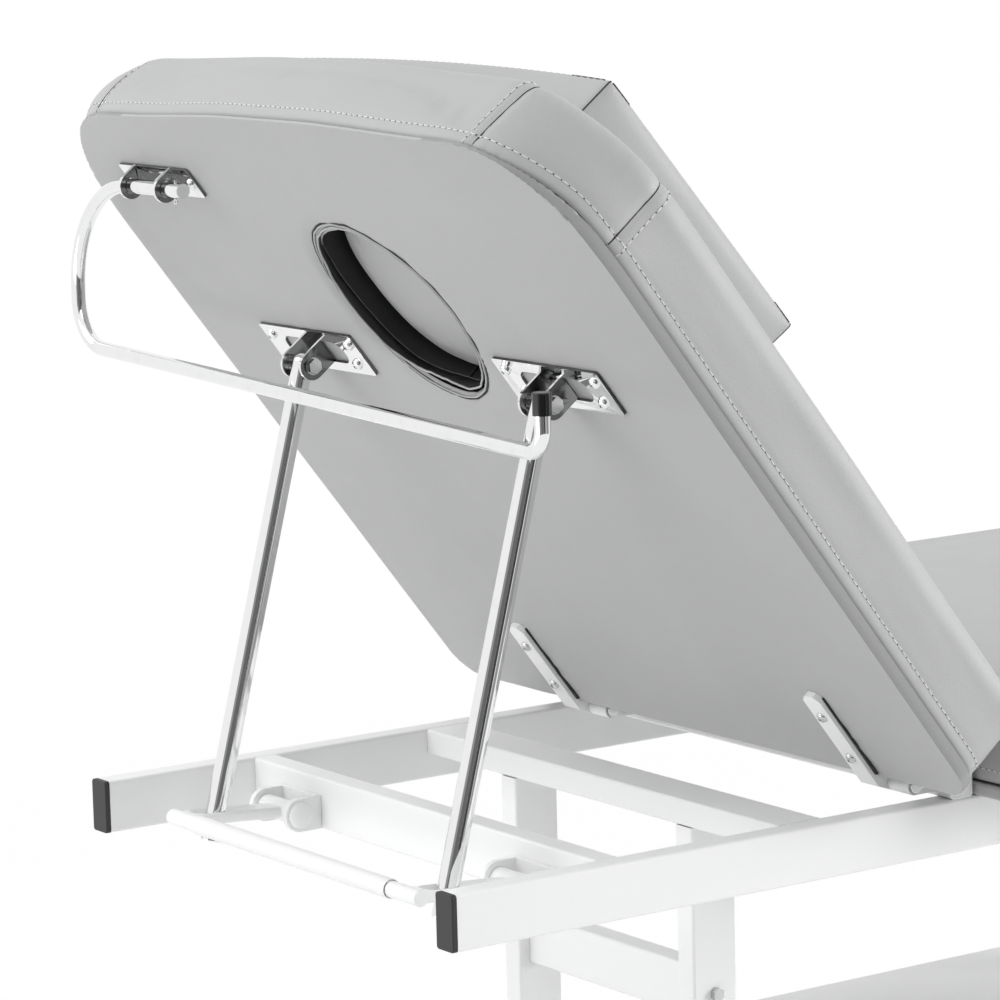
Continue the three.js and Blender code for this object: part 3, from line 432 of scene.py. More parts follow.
# %% Paint and plastics
def coated(name, colour, shine, peel, depth, spread=0.08):
    made = Finish(name, colour, shine)
    made.tint(made.noise(5.0, 2.0).over(0.35, 0.8) * 0.35, [value * 0.95 for value in colour])
    made.feed("Roughness", shine - spread / 2 + spread * made.noise(35.0, 3.0))
    made.relief(made.noise(peel, 2.0), depth, 0.6)
    return made.material


white_paint = coated("white_paint", (0.866, 0.867, 0.868), 0.32, 620.0, 0.00006)
white_plastic = coated("white_plastic", (0.850, 0.851, 0.850), 0.36, 260.0, 0.00003)
cap_plastic = coated("cap_plastic", (0.024, 0.024, 0.025), 0.50, 1500.0, 0.00006)
gloss_plastic = coated("gloss_plastic", (0.008, 0.008, 0.008), 0.14, 90.0, 0.00001, 0.04)
laminate = coated("laminate", (0.842, 0.844, 0.840), 0.42, 900.0, 0.00005)
plinth_board = coated("plinth_board", (0.035, 0.035, 0.036), 0.48, 700.0, 0.00008)
print("paint and plastics made")

# %% [markdown]
# ## Chrome and zinc
# Chrome is a mirror with very slight waves from the polishing under it and a few smudges. What
# makes it look like chrome is what it mirrors, so the studio gets dark cards further down. The
# sides of the ears, the plate edges that face the head end, the bores of the loops, the sides of
# the bolts and the bail's end get a dark, dull copy of chrome, which is painted shade. Zinc
# plating is a duller metal with a mottle.

# %% Metals
def metal(name, colour, shine, smudge, wave, wave_size):
    made = Finish(name, colour, shine, 1.0)
    mottle = made.noise(60.0, 4.0)
    made.tint(mottle.over(0.45, 0.8) * 0.4, [value * 0.9 for value in colour])
    made.feed("Roughness", shine + smudge * mottle.over(0.4, 0.75))
    made.relief(made.noise(wave_size, 1.0), wave)
    return made.material


chrome = metal("chrome", (0.850, 0.852, 0.855), 0.05, 0.04, 0.000002, 38.0)
# Painted shade: a dark, dull copy of chrome for faces that are in shade.
chrome_painted_shade = metal("chrome_painted_shade", (0.200, 0.201, 0.203), 0.18, 0.08, 0.000004, 90.0)
zinc = metal("zinc", (0.640, 0.645, 0.650), 0.20, 0.12, 0.00001, 300.0)

# %% [markdown]
# ## Lining, thread and the shade in a seam
# The face hole is lined with a dark, thin, slightly shiny sheet. Thread is twisted and rough, so
# it gets a very fine relief. The shade in the narrow fold of a seam is painted as a dark line.

# %% Lining and thread
dark_lining = leather("dark_lining", (0.013, 0.013, 0.014), 0.42, 0.0010)
lining_thread = coated("lining_thread", (0.200, 0.200, 0.203), 0.6, 2600.0, 0.00010, 0.1)
thread = coated("thread", (0.720, 0.720, 0.716), 0.62, 2600.0, 0.00016, 0.1)
# Painted shade: a dark material for the shade in seam folds, needle holes and round the hole's lip.
seam_painted_shade = coated("seam_painted_shade", (0.035, 0.035, 0.036), 0.75, 1800.0, 0.00010)
print("finishes in all:", len(bpy.data.materials))

# %% [markdown]
# ## The studio
# The photo has a pure white ground, so the floor and the world are white where the camera, or a
# mirror, looks at them, and give the object a plain soft light otherwise. The floor keeps a part
# of its own shade near the bed, so that the shadow stays. Soft lamps stand past the head end, low
# and high, and past the foot end, and a weak one stands in front, so that the corner which faces
# the camera is in half shade, as in the photo. Chrome is only as good as what it mirrors, so dark
# cards stand round it, as a photographer sets black flags beside a bright tube to draw its edges.
# Three of them stand behind the camera, where a real studio is dark too, and take a little light
# from the corner that faces them. The fourth stands to the right, where mirrors alone see it.

# %% Floor, world, lamps and cards
def studio_floor():
    floor = primitive("studio_floor", bpy.ops.mesh.primitive_plane_add, size=60)
    made = Finish("studio_floor", (0.88, 0.88, 0.88), 0.9)
    made.tint(made.noise(1.5, 2.0) * 0.1, (0.84, 0.84, 0.84))
    path = made.tree.nodes.new("ShaderNodeLightPath").outputs
    seen = sum((Level(made, path[name]) for name in ("Is Glossy Ray", "Is Transmission Ray")),
               Level(made, path["Is Camera Ray"]))
    glow = made.tree.nodes.new("ShaderNodeEmission")
    mix = made.tree.nodes.new("ShaderNodeMixShader")
    far = made.add("ShaderNodeVectorMath", {"operation": "LENGTH"}, [made.place], 1).over(1.2, 4.5)
    made.tree.links.new((seen * (0.86 + 0.14 * far)).socket, mix.inputs[0])
    made.tree.links.new(made.tree.nodes["Principled BSDF"].outputs[0], mix.inputs[1])
    made.tree.links.new(glow.outputs[0], mix.inputs[2])
    made.tree.links.new(mix.outputs[0], made.tree.nodes["Material Output"].inputs["Surface"])
    floor.data.materials.append(made.material)


def studio_world(strength):
    world = bpy.data.worlds.new("studio_world")
    scene.world = world
    world.use_nodes = True
    tree = world.node_tree
    light = tree.nodes["Background"]
    light.inputs["Color"].default_value = (0.99, 0.995, 1.0, 1)
    light.inputs["Strength"].default_value = strength
    white = tree.nodes.new("ShaderNodeBackground")
    white.inputs["Color"].default_value = (1, 1, 1, 1)
    path = tree.nodes.new("ShaderNodeLightPath")
    joined = path.outputs["Is Camera Ray"]
    for name in ("Is Glossy Ray", "Is Transmission Ray"):
        most = tree.nodes.new("ShaderNodeMath")
        most.operation = "MAXIMUM"
        tree.links.new(joined, most.inputs[0])
        tree.links.new(path.outputs[name], most.inputs[1])
        joined = most.outputs[0]
    mix = tree.nodes.new("ShaderNodeMixShader")
    tree.links.new(joined, mix.inputs[0])
    tree.links.new(light.outputs[0], mix.inputs[1])
    tree.links.new(white.outputs[0], mix.inputs[2])
    tree.links.new(mix.outputs[0], tree.nodes["World Output"].inputs["Surface"])


def lamp(name, place, target, size, power):
    light = bpy.data.lights.new(name, "AREA")
    light.shape = "RECTANGLE"
    light.size, light.size_y = size
    light.energy = power
    holder = bpy.data.objects.new(name, light)
    aim = (Vector(target) - Vector(place)).to_track_quat("-Z", "Y")
    holder.matrix_world = Matrix.Translation(place) @ aim.to_matrix().to_4x4()
    scene.collection.objects.link(holder)


CARD_DISTANCE, CARD_HEIGHT = 3.4, 2.6
CARDS = ((-150, 1.2, 0.30, ()), (-123, 2.3, 0.14, ()), (-94, 1.2, 0.05, ()),
         (-58, 2.4, 0.30, ("diffuse",)))


def dark_card(name, angle, width, shade, unseen):
    """An upright card at an angle round the bed, which the kinds of rays in unseen pass through."""
    turn = radians(angle)
    place = (CARD_DISTANCE * cos(turn) - 0.6, CARD_DISTANCE * sin(turn), CARD_HEIGHT / 2)
    card = primitive(name, bpy.ops.mesh.primitive_plane_add, (width, CARD_HEIGHT, 1), size=1,
                     rotation=(pi / 2, 0, turn + pi / 2), location=place)
    made = Finish(name, (0, 0, 0), 1.0)
    made.surface["Emission Strength"].default_value = 1.0
    made.feed("Emission Color", shade * 0.9 + shade * 0.2 * made.noise(2.0))
    card.data.materials.append(made.material)
    for kind in ("camera", "shadow", "transmission", "volume_scatter") + unseen:
        setattr(card, "visible_" + kind, False)


studio_floor()
studio_world(0.92)
lamp("low_lamp", (-3.4, 0.4, 0.35), (-0.5, 0, 0.9), (2.2, 0.6), 12)
lamp("high_lamp", (-2.6, 1.2, 3.0), (-0.6, 0, 0.9), (2.4, 2.4), 35)
lamp("side_lamp", (3.4, -2.8, 1.6), (-0.4, 0, 0.8), (2.0, 2.0), 107)
lamp("front_lamp", (-1.5, -2.7, 3.2), (-0.6, -0.4, 1.1), (1.6, 1.6), 9)
for index, (angle, width, shade, unseen) in enumerate(CARDS):
    dark_card(f"dark_card_{index}", angle, width, shade, unseen)
scene.view_settings.view_transform = "Standard"
print("lamps:", [light.name for light in bpy.data.lights])

# %% [markdown]
# ## Square steel tubes
# The frame is welded from rectangular steel tube, whose corners are rolled to a small radius. A
# plain box would have hard edges, and a solid bar would look wrong at an open end. So each tube
# starts as a box without its ends, its four long edges are rounded, and Solidify gives it the
# thickness of the steel.

# %% Tubes and their makers
def square_tube(name, low, high, axis, corner=0.003, wall=0.0015):
    tube = block(name, low, high)
    pick_faces(tube, lambda middle, normal: abs(normal[axis]) > 0.9)
    bpy.ops.mesh.delete(type="FACE")
    leave_edit()
    round_edges(tube, runs(axis), corner, 5)
    shell = tube.modifiers.new("steel", "SOLIDIFY")
    shell.thickness = wall
    shell.offset = -1
    apply_all(tube)
    return crisp(tube, 50)


def tube_at_node(node, axis):
    """A tube exactly where the CAD tube is."""
    low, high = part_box(node)
    return square_tube(node.replace("_tube", "") + "_bar", low, high, axis)


for side in ("near", "far"):
    finish(tube_at_node("side_rail_" + side, 0), white_paint, "base", "frame_paint", "side_rail_" + side)
for node in ("stop_cross_tube", "head_cross_tube", "leg_cross_tube", "foot_cross_tube",
             "post_member_head", "post_member_foot"):
    finish(tube_at_node(node, 1), white_paint, "base", "frame_paint", node)

# %% [markdown]
# ## The hinge tube
# The backrest turns on a thinner square tube that lies across the rails. Its ends are closed by
# welded plates, which a small inset and a push inwards show, and a vent hole under its middle
# lets hot air out when the paint is baked.

# %% Hinge tube
def closed_tube(name, low, high):
    tube = block(name, low, high)
    round_edges(tube, runs(1), 0.003, 5)
    pick_faces(tube, lambda middle, normal: abs(normal.y) > 0.9)
    bpy.ops.mesh.inset(thickness=0.0016)
    bpy.ops.mesh.extrude_region_shrink_fatten(TRANSFORM_OT_shrink_fatten={"value": -0.0006})
    leave_edit()
    middle = (Vector(low) + Vector(high)) / 2
    vent = drum("vent", 0.0025, (middle.x, 0, low.z - 0.004), (middle.x, 0, low.z + 0.006), 24)
    return crisp(cut(tube, vent), 50)


finish(closed_tube("hinge_bar", *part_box("hinge_cross_tube")), white_paint, "base", "frame_paint",
       "hinge_cross_tube")

# %% [markdown]
# ## Rail end caps
# Each open rail end is plugged by a black plastic cap: a flange that covers the steel, with a
# softly rounded edge, and a plug that goes into the tube. One cap is made from a block, by an
# inset and an extrusion of its back face, and the other three are copies.

# %% Caps
def rail_cap(name):
    low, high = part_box("rail_cap_head_near")
    back = RAIL_HEAD - SEAM
    cap = block(name, low, (back, high.y, high.z))
    round_edges(cap, runs(0), 0.003, 5)
    pick_faces(cap, lambda middle, normal: normal.x > 0.9)
    bpy.ops.mesh.inset(thickness=0.0018)
    bpy.ops.mesh.extrude_region_move(TRANSFORM_OT_translate={"value": (0.016, 0, 0)})
    leave_edit()
    round_edges(cap, rim(low.x, 0), 0.0011, 3)
    return crisp(cap)


cap = rail_cap("cap_head_near")
across = Matrix.Translation((0, 2 * FRAME_HALF - TUBE_NARROW, 0))
lengthwise = Matrix.Translation((RAIL_HEAD + RAIL_FOOT, 0, 0)) @ Matrix.Rotation(pi, 4, "Z")
COPIES = {"head_far": across, "foot_far": lengthwise, "foot_near": across.inverted() @ lengthwise}
for corner, place in COPIES.items():
    finish(copy_of(cap, "cap_" + corner, place), cap_plastic, "base", "black_plastic", "rail_cap_" + corner)
finish(cap, cap_plastic, "base", "black_plastic", "rail_cap_head_near")

# %% [markdown]
# ## A screw
# The steel parts are held to the boards by pan head screws with a cross recess. One head is
# made from a sphere: the lower half is bisected away, it is pressed flatter, and two crossed
# bars cut the recess. All other screws are copies, turned by different amounts, because nobody
# lines screws up.

# %% One screw, and where its copies go
SCREW_RADIUS, SCREW_HEIGHT, SCREW_FOOT = 0.0056, 0.0036, 0.0006
RECESS = (0.0022, 0.0005)


def half_ball(name, out, **settings):
    """The half of a sphere that lies on one side of the origin."""
    ball = primitive(name, bpy.ops.mesh.primitive_uv_sphere_add, **settings)
    pick_faces(ball)
    bpy.ops.mesh.bisect(plane_co=(0, 0, 0), plane_no=out, clear_inner=True, use_fill=True)
    leave_edit()
    return ball


def pan_screw(name):
    screw = half_ball(name, (0, 0, 1), segments=28, ring_count=16, radius=SCREW_RADIUS)
    screw.data.transform(Matrix.Diagonal((1, 1, SCREW_HEIGHT / SCREW_RADIUS, 1)))
    weld(screw, drum("foot", SCREW_RADIUS, (0, 0, -SCREW_FOOT), (0, 0, 0.0002), 28))
    for x, y in (RECESS, RECESS[::-1]):
        cut(screw, block("recess", (-x, -y, SCREW_HEIGHT - 0.0017), (x, y, SCREW_HEIGHT + 0.001)))
    return smooth(screw, 30)


screw_pattern = pan_screw("screw_pattern")
screw_numbers = itertools.count()


def drive(body, points, out, material=zinc):
    """Copies of the screw that stand on points, with their heads along out."""
    out = Vector(out)
    turn = out.to_track_quat("Z", "Y").to_matrix().to_4x4()
    for point, number in zip(points, screw_numbers):
        foot = Matrix.Translation(Vector(point) + out * SCREW_FOOT)
        place = foot @ turn @ Matrix.Rotation(number * 2.4, 4, "Z")
        finish(copy_of(screw_pattern, f"screw_{number:02d}", place), material, body, "zinc_steel")

# %% [markdown]
# ## Posts on the cabinet
# Four posts of the same tube stand on foot plates that are screwed to the cabinet. A post and
# its plate are welded, so they stand for one solid here, though they are two pieces: a tube that
# ends just inside a plate. The plate's holes are left out, because a screw fills each of them.

# %% Posts
POST_HALF = Vector((TUBE_WIDE / 2, TUBE_NARROW / 2, 0))
PLATE = 0.005
BOLT_INSET = 0.011


def post(end, side):
    node = f"post_{end}_{side}"
    low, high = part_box(node)
    middle = (low + high) / 2
    plate = block(node + "_plate", low, (high.x, high.y, low.z + PLATE))
    round_edges(plate, runs(2), 0.005, 4)
    ease(plate, 0.0006)
    foot, top = Vector((middle.x, middle.y, low.z + PLATE - 0.0005)), Vector((middle.x, middle.y, high.z))
    tube = square_tube(node + "_post", foot - POST_HALF, top + POST_HALF, 2)
    for piece in (plate, tube):
        finish(piece, white_paint, "base", "frame_paint", node)
    drive("base", [(x, y, low.z + PLATE) for x in (low.x + BOLT_INSET, high.x - BOLT_INSET)
                   for y in (low.y + BOLT_INSET, high.y - BOLT_INSET)], (0, 0, 1))


for end in ("head", "foot"):
    for side in ("near", "far"):
        post(end, side)

# %% [markdown]
# ## The wrapped board under the backrest
# The backrest is built on a plywood board that is wrapped in leather, with an upright edge about
# 11 mm high before the cushion's own leather starts. It could be left as a flat plate, but the
# photo's grazing light shows that the sheet is stretched: it rounds over the edge and puckers
# where steel is screwed on. So a slab with rounded corners is remeshed into even small squares,
# and its points are then moved: in at the head corners, down along the head edge, into the face
# hole by up to 5 mm where the sheet is turned in, and by a fraction of a millimetre near the
# hardware.

# %% Slabs with rounded corners, and even meshes
def slab(name, low, high, low_x_corner, high_x_corner, steps=16):
    """A board whose upright corners have one radius at its low-X end and another at its high-X end."""
    piece = block(name, low, high)
    middle = (low[0] + high[0]) / 2
    round_edges(piece, runs(2, lambda at: at.x < middle), low_x_corner, steps)
    return round_edges(piece, runs(2, lambda at: at.x > high[0] - 1e-4), high_x_corner, steps)


def even_mesh(piece, size):
    piece.data.remesh_voxel_size = size
    activate(piece)
    bpy.ops.object.voxel_remesh()
    return piece


def points_of(piece):
    flat = np.empty(len(piece.data.vertices) * 3)
    piece.data.vertices.foreach_get("co", flat)
    return flat.reshape(-1, 3)


def set_points(piece, points):
    piece.data.vertices.foreach_set("co", points.ravel())
    piece.data.update()


OVAL_ANGLES = [-180, -150, -133, -116, -100, -80, -60, -30, -12,
               14, 39, 58, 90, 111, 130, 145, 160, 180]
OVAL_GROWS = [-2, -4, -1, 2.5, 4, 2.5, 4, 3, 1, -2, 1, 3, 3, 6.5, 8, 6.5, 2.5, -2]


def round_the_hole(turn, angles, values):
    """A value that changes with the angle round the hole, in millimetres, read from a short list."""
    return float(np.interp((degrees(turn) + 180) % 360 - 180, angles, values)) / 1000


def oval_at(turn, grow, z):
    """A point round the face hole, which was cut by hand and isn't an exact oval."""
    grow += round_the_hole(turn, OVAL_ANGLES, OVAL_GROWS)
    across, along = HOLE_HALF[0] + grow, HOLE_HALF[1] + grow
    return Vector((HOLE.x + across * cos(turn), HOLE.y + along * sin(turn), z))


def oval_cutter(name, grow, low, high, sides=120):
    """An upright oval prism, for the face hole."""
    cutter = drum(name, 1, (0, 0, low), (0, 0, high), sides)
    set_points(cutter, np.array([oval_at(atan2(y, x), grow, z) for x, y, z in points_of(cutter)]))
    return cutter


def bump_step(value, low, high):
    share = np.clip((value - low) / (high - low), 0, 1)
    return share * share * (3 - 2 * share)


def strip_height(x, y):
    """How high the board's upright edge shows: 11 mm at the sides, and little at the head end."""
    beyond = np.maximum(BACK_HEAD + HEAD_CORNER - x, 0)
    aside = np.maximum(abs(y) - (BED_HALF - HEAD_CORNER), 0)
    turn = np.arctan2(aside, beyond + 1e-9)
    return np.where(beyond > 0, 0.0035 + 0.0085 * bump_step(turn, 0.35, 1.45), BOARD)


def head_inset(x, y):
    """How far the head end's corners are drawn in from a plain rounded rectangle."""
    beyond = np.maximum(BACK_HEAD + HEAD_CORNER + 0.05 - x, 0)
    near_head = bump_step(beyond, 0.0, 0.12)
    return near_head * 0.011 * bump_step(abs(y), 0.05, 0.30)


def press_towards_middle(points, amount):
    """Move points in the flat plane towards the pad's middle, by an amount for each."""
    away = points[:, :2] - np.array([-0.45, 0.0])
    share = amount / np.maximum(np.hypot(away[:, 0], away[:, 1]), 1e-6)
    points[:, :2] -= away * share[:, None]
    return points


print("strip heights at side and head:", strip_height(np.array([-0.3, -0.79]), np.array([-0.4, 0.0])))

# %% The board's leather
# Each entry is a place on the board, how far its folds reach and how deep they are.
HARDWARE = [(STRUT_X, STRUT_Y, 0.09, 0.0005), (STRUT_X, -STRUT_Y, 0.09, 0.0005),
            (PAPER_X, PAPER_Y, 0.07, 0.0004), (-0.07, ARM_Y["near"], 0.07, 0.0009),
            (-0.07, ARM_Y["far"], 0.07, 0.0009)]


def pucker(points, side):
    """Low folds that run out from the screws, and a slow unevenness over the whole sheet."""
    x, y = points[:, 0], points[:, 1]
    lift = 0.00018 * (np.sin(31 * x + 3) * np.sin(27 * y + 1) + np.sin(13 * x - 17 * y))
    for px, py, reach, depth in HARDWARE:
        far = np.hypot(x - px, y - py)
        turn = np.arctan2(y - py, x - px)
        lift += depth * np.exp(-(far / reach) ** 2) * (0.4 + 0.6 * np.sin(7 * turn + 30 * far))
    beyond = np.hypot((x - HOLE.x) / HOLE_HALF[0], (y - HOLE.y) / HOLE_HALF[1]) - 1
    turn = np.arctan2(y - HOLE.y, x - HOLE.x)
    lift += 0.0004 * np.exp(-(beyond / 0.14) ** 2) * (np.sin(11 * turn) + np.sin(17 * turn + 1))
    under = points[:, 2] < side + 0.004
    points[under, 2] -= np.clip(lift, -0.0006, 0.0009)[under]
    grow = np.array([round_the_hole(angle, OVAL_ANGLES, OVAL_GROWS) for angle in turn])
    drop = (0.0012 + 0.0040 * np.exp(-((np.degrees(turn) - 85) / 55) ** 2))
    points[under, 2] += (drop * (1 - bump_step(beyond * 0.094 - grow, 0.001, 0.017)))[under]
    return points


def backrest_panel():
    inset = 0.0015
    low = (BACK_HEAD + inset, inset - BED_HALF, UNDERSIDE)
    high = (BACK_FOOT - inset, BED_HALF - inset, UNDERSIDE + BOARD)
    panel = slab("backrest_panel", low, high, HEAD_CORNER - inset, FOOT_CORNER)

    def foot_edge(a, b):
        return rim(UNDERSIDE)(a, b) and min(a.x, b.x) > high[0] - 0.02

    round_edges(panel, foot_edge, 0.008, 3)
    cut(panel, oval_cutter("hole", 0.0033, UNDERSIDE - 0.01, UNDERSIDE + 0.03))
    even_mesh(panel, 0.0045)
    points = points_of(panel)
    points = press_towards_middle(points, head_inset(points[:, 0], points[:, 1]))
    edge = np.hypot((points[:, 0] + 0.4) / 0.35, points[:, 1] / 0.36) > 1
    above = np.clip((points[:, 2] - UNDERSIDE) / BOARD, 0, 1)
    height = strip_height(points[:, 0], points[:, 1])
    points[:, 2] = np.where(edge, UNDERSIDE + above * height, points[:, 2])
    set_points(panel, pucker(points, UNDERSIDE))
    return smooth(panel, 50)


panel = settle(backrest_panel(), raised)
finish(panel, board_leather, "backrest", "grey_leather", "backrest_board")
# The upright edge gets the darker grey of painted shade.
tone(panel, edge_painted_shade, lambda middle, normal: abs(normal.dot(BELOW)) < 0.75 and abs(middle.y) > 0.25)

# %% [markdown]
# ## Blowing up a cushion
# A cushion is foam that pushes against a cover which is sewn at its edges. Swelling it by hand
# in edit mode gives the same curve everywhere. Cloth with air pressure inside gives the real
# one: tight between seams, fuller in the middle, flat where it is sewn. Each pad starts a little
# small and is blown up for twenty frames without gravity. It may move only so far, and where the
# cloth pulls inwards it stays where it is, because foam would hold it there.

# %% Inflate
FOAM_INSET = 0.004


def inflate(piece, pressure, most, held, frames=20):
    """Blow a closed mesh up. Held points stay, none moves beyond most, and none moves inwards."""
    start = points_of(piece)
    outward = np.array([vertex.normal for vertex in piece.data.vertices])
    pins = [index for index, point in enumerate(start) if held(point)]
    sewn = piece.vertex_groups.new(name="sewn")
    sewn.add(pins, 1.0, "REPLACE")
    cloth = piece.modifiers.new("cover", "CLOTH")
    cover = cloth.settings
    cover.vertex_group_mass = "sewn"
    cover.use_pressure = True
    cover.uniform_pressure_force = pressure
    cover.effector_weights.gravity = 0
    cover.quality = 5
    cover.tension_stiffness = cover.compression_stiffness = 15
    cover.bending_stiffness = 0.8
    cloth.collision_settings.use_collision = False
    cloth.collision_settings.use_self_collision = False
    cloth.point_cache.frame_end = frames
    for frame_number in range(1, frames + 1):
        scene.frame_set(frame_number)
    apply_all(piece)
    scene.frame_set(1)
    moved = points_of(piece) - start
    drawn_in = np.minimum(np.sum(moved * outward, axis=1), 0)
    moved -= outward * drawn_in[:, None]
    length = np.maximum(np.linalg.norm(moved, axis=1), 1e-9)
    kept = most * np.tanh(length / most)
    set_points(piece, start + moved * (kept / length)[:, None])
    piece.vertex_groups.clear()
    print(f"{piece.name}: {len(start)} points, {len(pins)} held, moved up to {kept.max() * 1000:.1f} mm")
    return piece


def soften(piece):
    """One subdivision, applied."""
    finer = piece.modifiers.new("finer", "SUBSURF")
    finer.levels = finer.render_levels = 1
    apply_all(piece)
    return piece


def foam(name, low_x, high_x, low, top, low_x_corner, high_x_corner):
    """A pad before it is blown up, with a rounded top edge."""
    pad = slab(name, (low_x + FOAM_INSET, FOAM_INSET - BED_HALF, low),
               (high_x - FOAM_INSET, BED_HALF - FOAM_INSET, top - 0.001), low_x_corner, high_x_corner)
    return round_edges(pad, rim(top - 0.001), 0.013, 5)

# %% [markdown]
# ## The backrest cushion
# The backrest's cushion is a slab of foam 83 mm thick with a face hole. Its side is one long
# strip of leather, the boxing, with a patch at each head corner, and its top edge is soft. The
# side swells a little past the board and is held at the bottom, where it is sewn to it. The far
# head corner is stuffed fuller than the near one, as in the photo.

# %% Shape of the backrest cushion
def hole_wall(point):
    """Whether a point of the cushion lies on the wall of its face hole."""
    across, along = HOLE_HALF[0] + 0.012, HOLE_HALF[1] + 0.012
    return hypot((point[0] - HOLE.x) / across, (point[1] - HOLE.y) / along) < 1


def backrest_pad():
    low = UNDERSIDE + BOARD + SEAM
    pad = foam("backrest_pad", BACK_HEAD, BACK_FOOT, low, BACK_TOP, HEAD_CORNER - FOAM_INSET, FOOT_CORNER)
    cut(pad, oval_cutter("hole", 0.0045, low - 0.01, BACK_TOP + 0.02))
    even_mesh(pad, 0.0068)
    inflate(pad, 4.0, 0.0058, lambda point: point[2] < low + 0.004 or hole_wall(point))
    soften(pad)
    points = points_of(pad)
    side = points[:, 2]
    points = press_towards_middle(points, head_inset(points[:, 0], points[:, 1]))
    corner = np.exp(-(np.hypot(points[:, 0] + 0.755, abs(points[:, 1]) - 0.363) / 0.085) ** 2)
    upper = bump_step(side, low + 0.012, BACK_TOP)
    share = np.clip((side - low) / (BACK_TOP - low), 0, 1)
    stuffed = np.where(points[:, 1] > 0, 0.016, 0.001) * np.sin(pi * share ** 0.8)
    points = press_towards_middle(points, (0.006 * upper - stuffed) * corner)
    points[:, 2] -= 0.003 * corner * upper
    drop = (BOARD - strip_height(points[:, 0], points[:, 1])) * (1 - bump_step(side, low, low + 0.045))
    outer = np.hypot((points[:, 0] + 0.4) / 0.35, points[:, 1] / 0.36) > 1
    points[:, 2] -= np.where(outer, drop, 0)
    x, y = points[:, 0], points[:, 1]
    slack = 0.0007 * np.sin(19 * x + 2) * np.sin(23 * points[:, 2] * 3 + 11 * y)
    crowned = bump_step(side, low + 0.02, low + 0.05)
    points[:, 1] += np.sign(y) * slack * crowned * (abs(y) > 0.38)
    set_points(pad, points)
    return smooth(pad, 60)


pad = backrest_pad()

# %% [markdown]
# ## Seams and topstitching
# A seam is where two sheets meet and fold inwards in a shallow valley, and the shade in that fold
# is painted as a narrow dark line. Beside it runs a row of topstitching, a stitch every 8 mm, and
# the shade in each needle hole between two is painted as a dark spot. The lines are found on the
# blown-up shape itself, by shooting rays at it from outside, so that thread lies on leather
# everywhere. Then the valley is pressed in, a thin dark tube of painted shade is laid in it, and
# one stitch is copied along each row.

# %% Lines on a pad
def outline_points(low_x, high_x, half, low_corner, high_corner, step):
    """Points and outward directions round a rounded rectangle, evenly spaced, and back to the first."""
    corners = [(high_x - high_corner, half - high_corner, high_corner, 0),
               (low_x + low_corner, half - low_corner, low_corner, 1),
               (low_x + low_corner, low_corner - half, low_corner, 2),
               (high_x - high_corner, high_corner - half, high_corner, 3)]
    dense = []
    for cx, cy, radius, quarter in corners:
        for part in range(41):
            turn = (quarter + part / 40) * pi / 2
            dense.append((Vector((cx + radius * cos(turn), cy + radius * sin(turn), 0)),
                          Vector((cos(turn), sin(turn), 0))))
    dense.append(dense[0])
    marks, walked, due = [], 0.0, 0.0
    for (a, out_a), (b, out_b) in zip(dense, dense[1:]):
        length = (b - a).length
        while length > 0 and due <= walked + length:
            share = (due - walked) / length
            marks.append((a.lerp(b, share), out_a.lerp(out_b, share).normalized()))
            due += step
        walked += length
    return marks + marks[:1]


def surface_tree(piece):
    return BVHTree.FromPolygons([vertex.co for vertex in piece.data.vertices],
                                [list(face.vertices) for face in piece.data.polygons])


def shoot(tree, origin, direction):
    place, normal, _, _ = tree.ray_cast(origin, direction)
    return (place, normal) if place else None


def level_line(piece, marks, height):
    """Where a level line lies on the side of a pad. height is a rule for each point."""
    tree = surface_tree(piece)
    found = [shoot(tree, Vector((at.x, at.y, height(at))) + out * 0.05, -out) for at, out in marks]
    return [hit for hit in found if hit]


def line_over_edge(tree, at, out, low, high, onto, step):
    """A line up the side at one place, over the top edge and some way onto the top."""
    hits = []
    turn_at = high - 0.030
    for index in range(int((turn_at - low) / step) + 1):
        hits.append(shoot(tree, Vector((at.x, at.y, low + index * step)) + out * 0.05, -out))
    middle = Vector((at.x, at.y, turn_at)) - out * 0.030
    for index in range(1, 14):
        turn = index / 14 * pi / 2
        way = out * cos(turn) + Vector((0, 0, 1)) * sin(turn)
        hits.append(shoot(tree, middle + way * 0.1, -way))
    for index in range(int(onto / step)):
        hits.append(shoot(tree, middle - out * (index * step) + Vector((0, 0, 0.1)), Vector((0, 0, -1))))
    return [hit for hit in hits if hit]


def press_valley(piece, line, depth, width):
    """Press a shallow valley along a line of places on the surface."""
    tree = KDTree(len(line))
    for index, (place, _) in enumerate(line):
        tree.insert(place, index)
    tree.balance()
    points = points_of(piece)
    for index, vertex in enumerate(piece.data.vertices):
        _, nearest, far = tree.find(vertex.co)
        if far < 3 * width:
            points[index] -= np.array(line[nearest][1]) * depth * exp(-(far / width) ** 2)
    set_points(piece, points)


def tube_along(name, places, radius, sides=8, closed=False):
    """A thin round tube through places."""
    path = bpy.data.curves.new(name, "CURVE")
    path.dimensions = "3D"
    path.bevel_depth = radius
    path.bevel_resolution = max(0, sides // 2 - 2)
    path.use_fill_caps = not closed
    spline = path.splines.new("POLY")
    spline.points.add(len(places) - 1)
    for point, place in zip(spline.points, places):
        point.co = (*place, 1)
    spline.use_cyclic_u = closed
    holder = bpy.data.objects.new(name, path)
    scene.collection.objects.link(holder)
    activate(holder)
    bpy.ops.object.convert(target="MESH")
    piece = bpy.context.active_object
    piece.name = piece.data.name = name
    pick_faces(piece)
    bpy.ops.mesh.remove_doubles(threshold=1e-6)
    bpy.ops.mesh.normals_make_consistent(inside=False)
    leave_edit()
    return smooth(piece, 60)


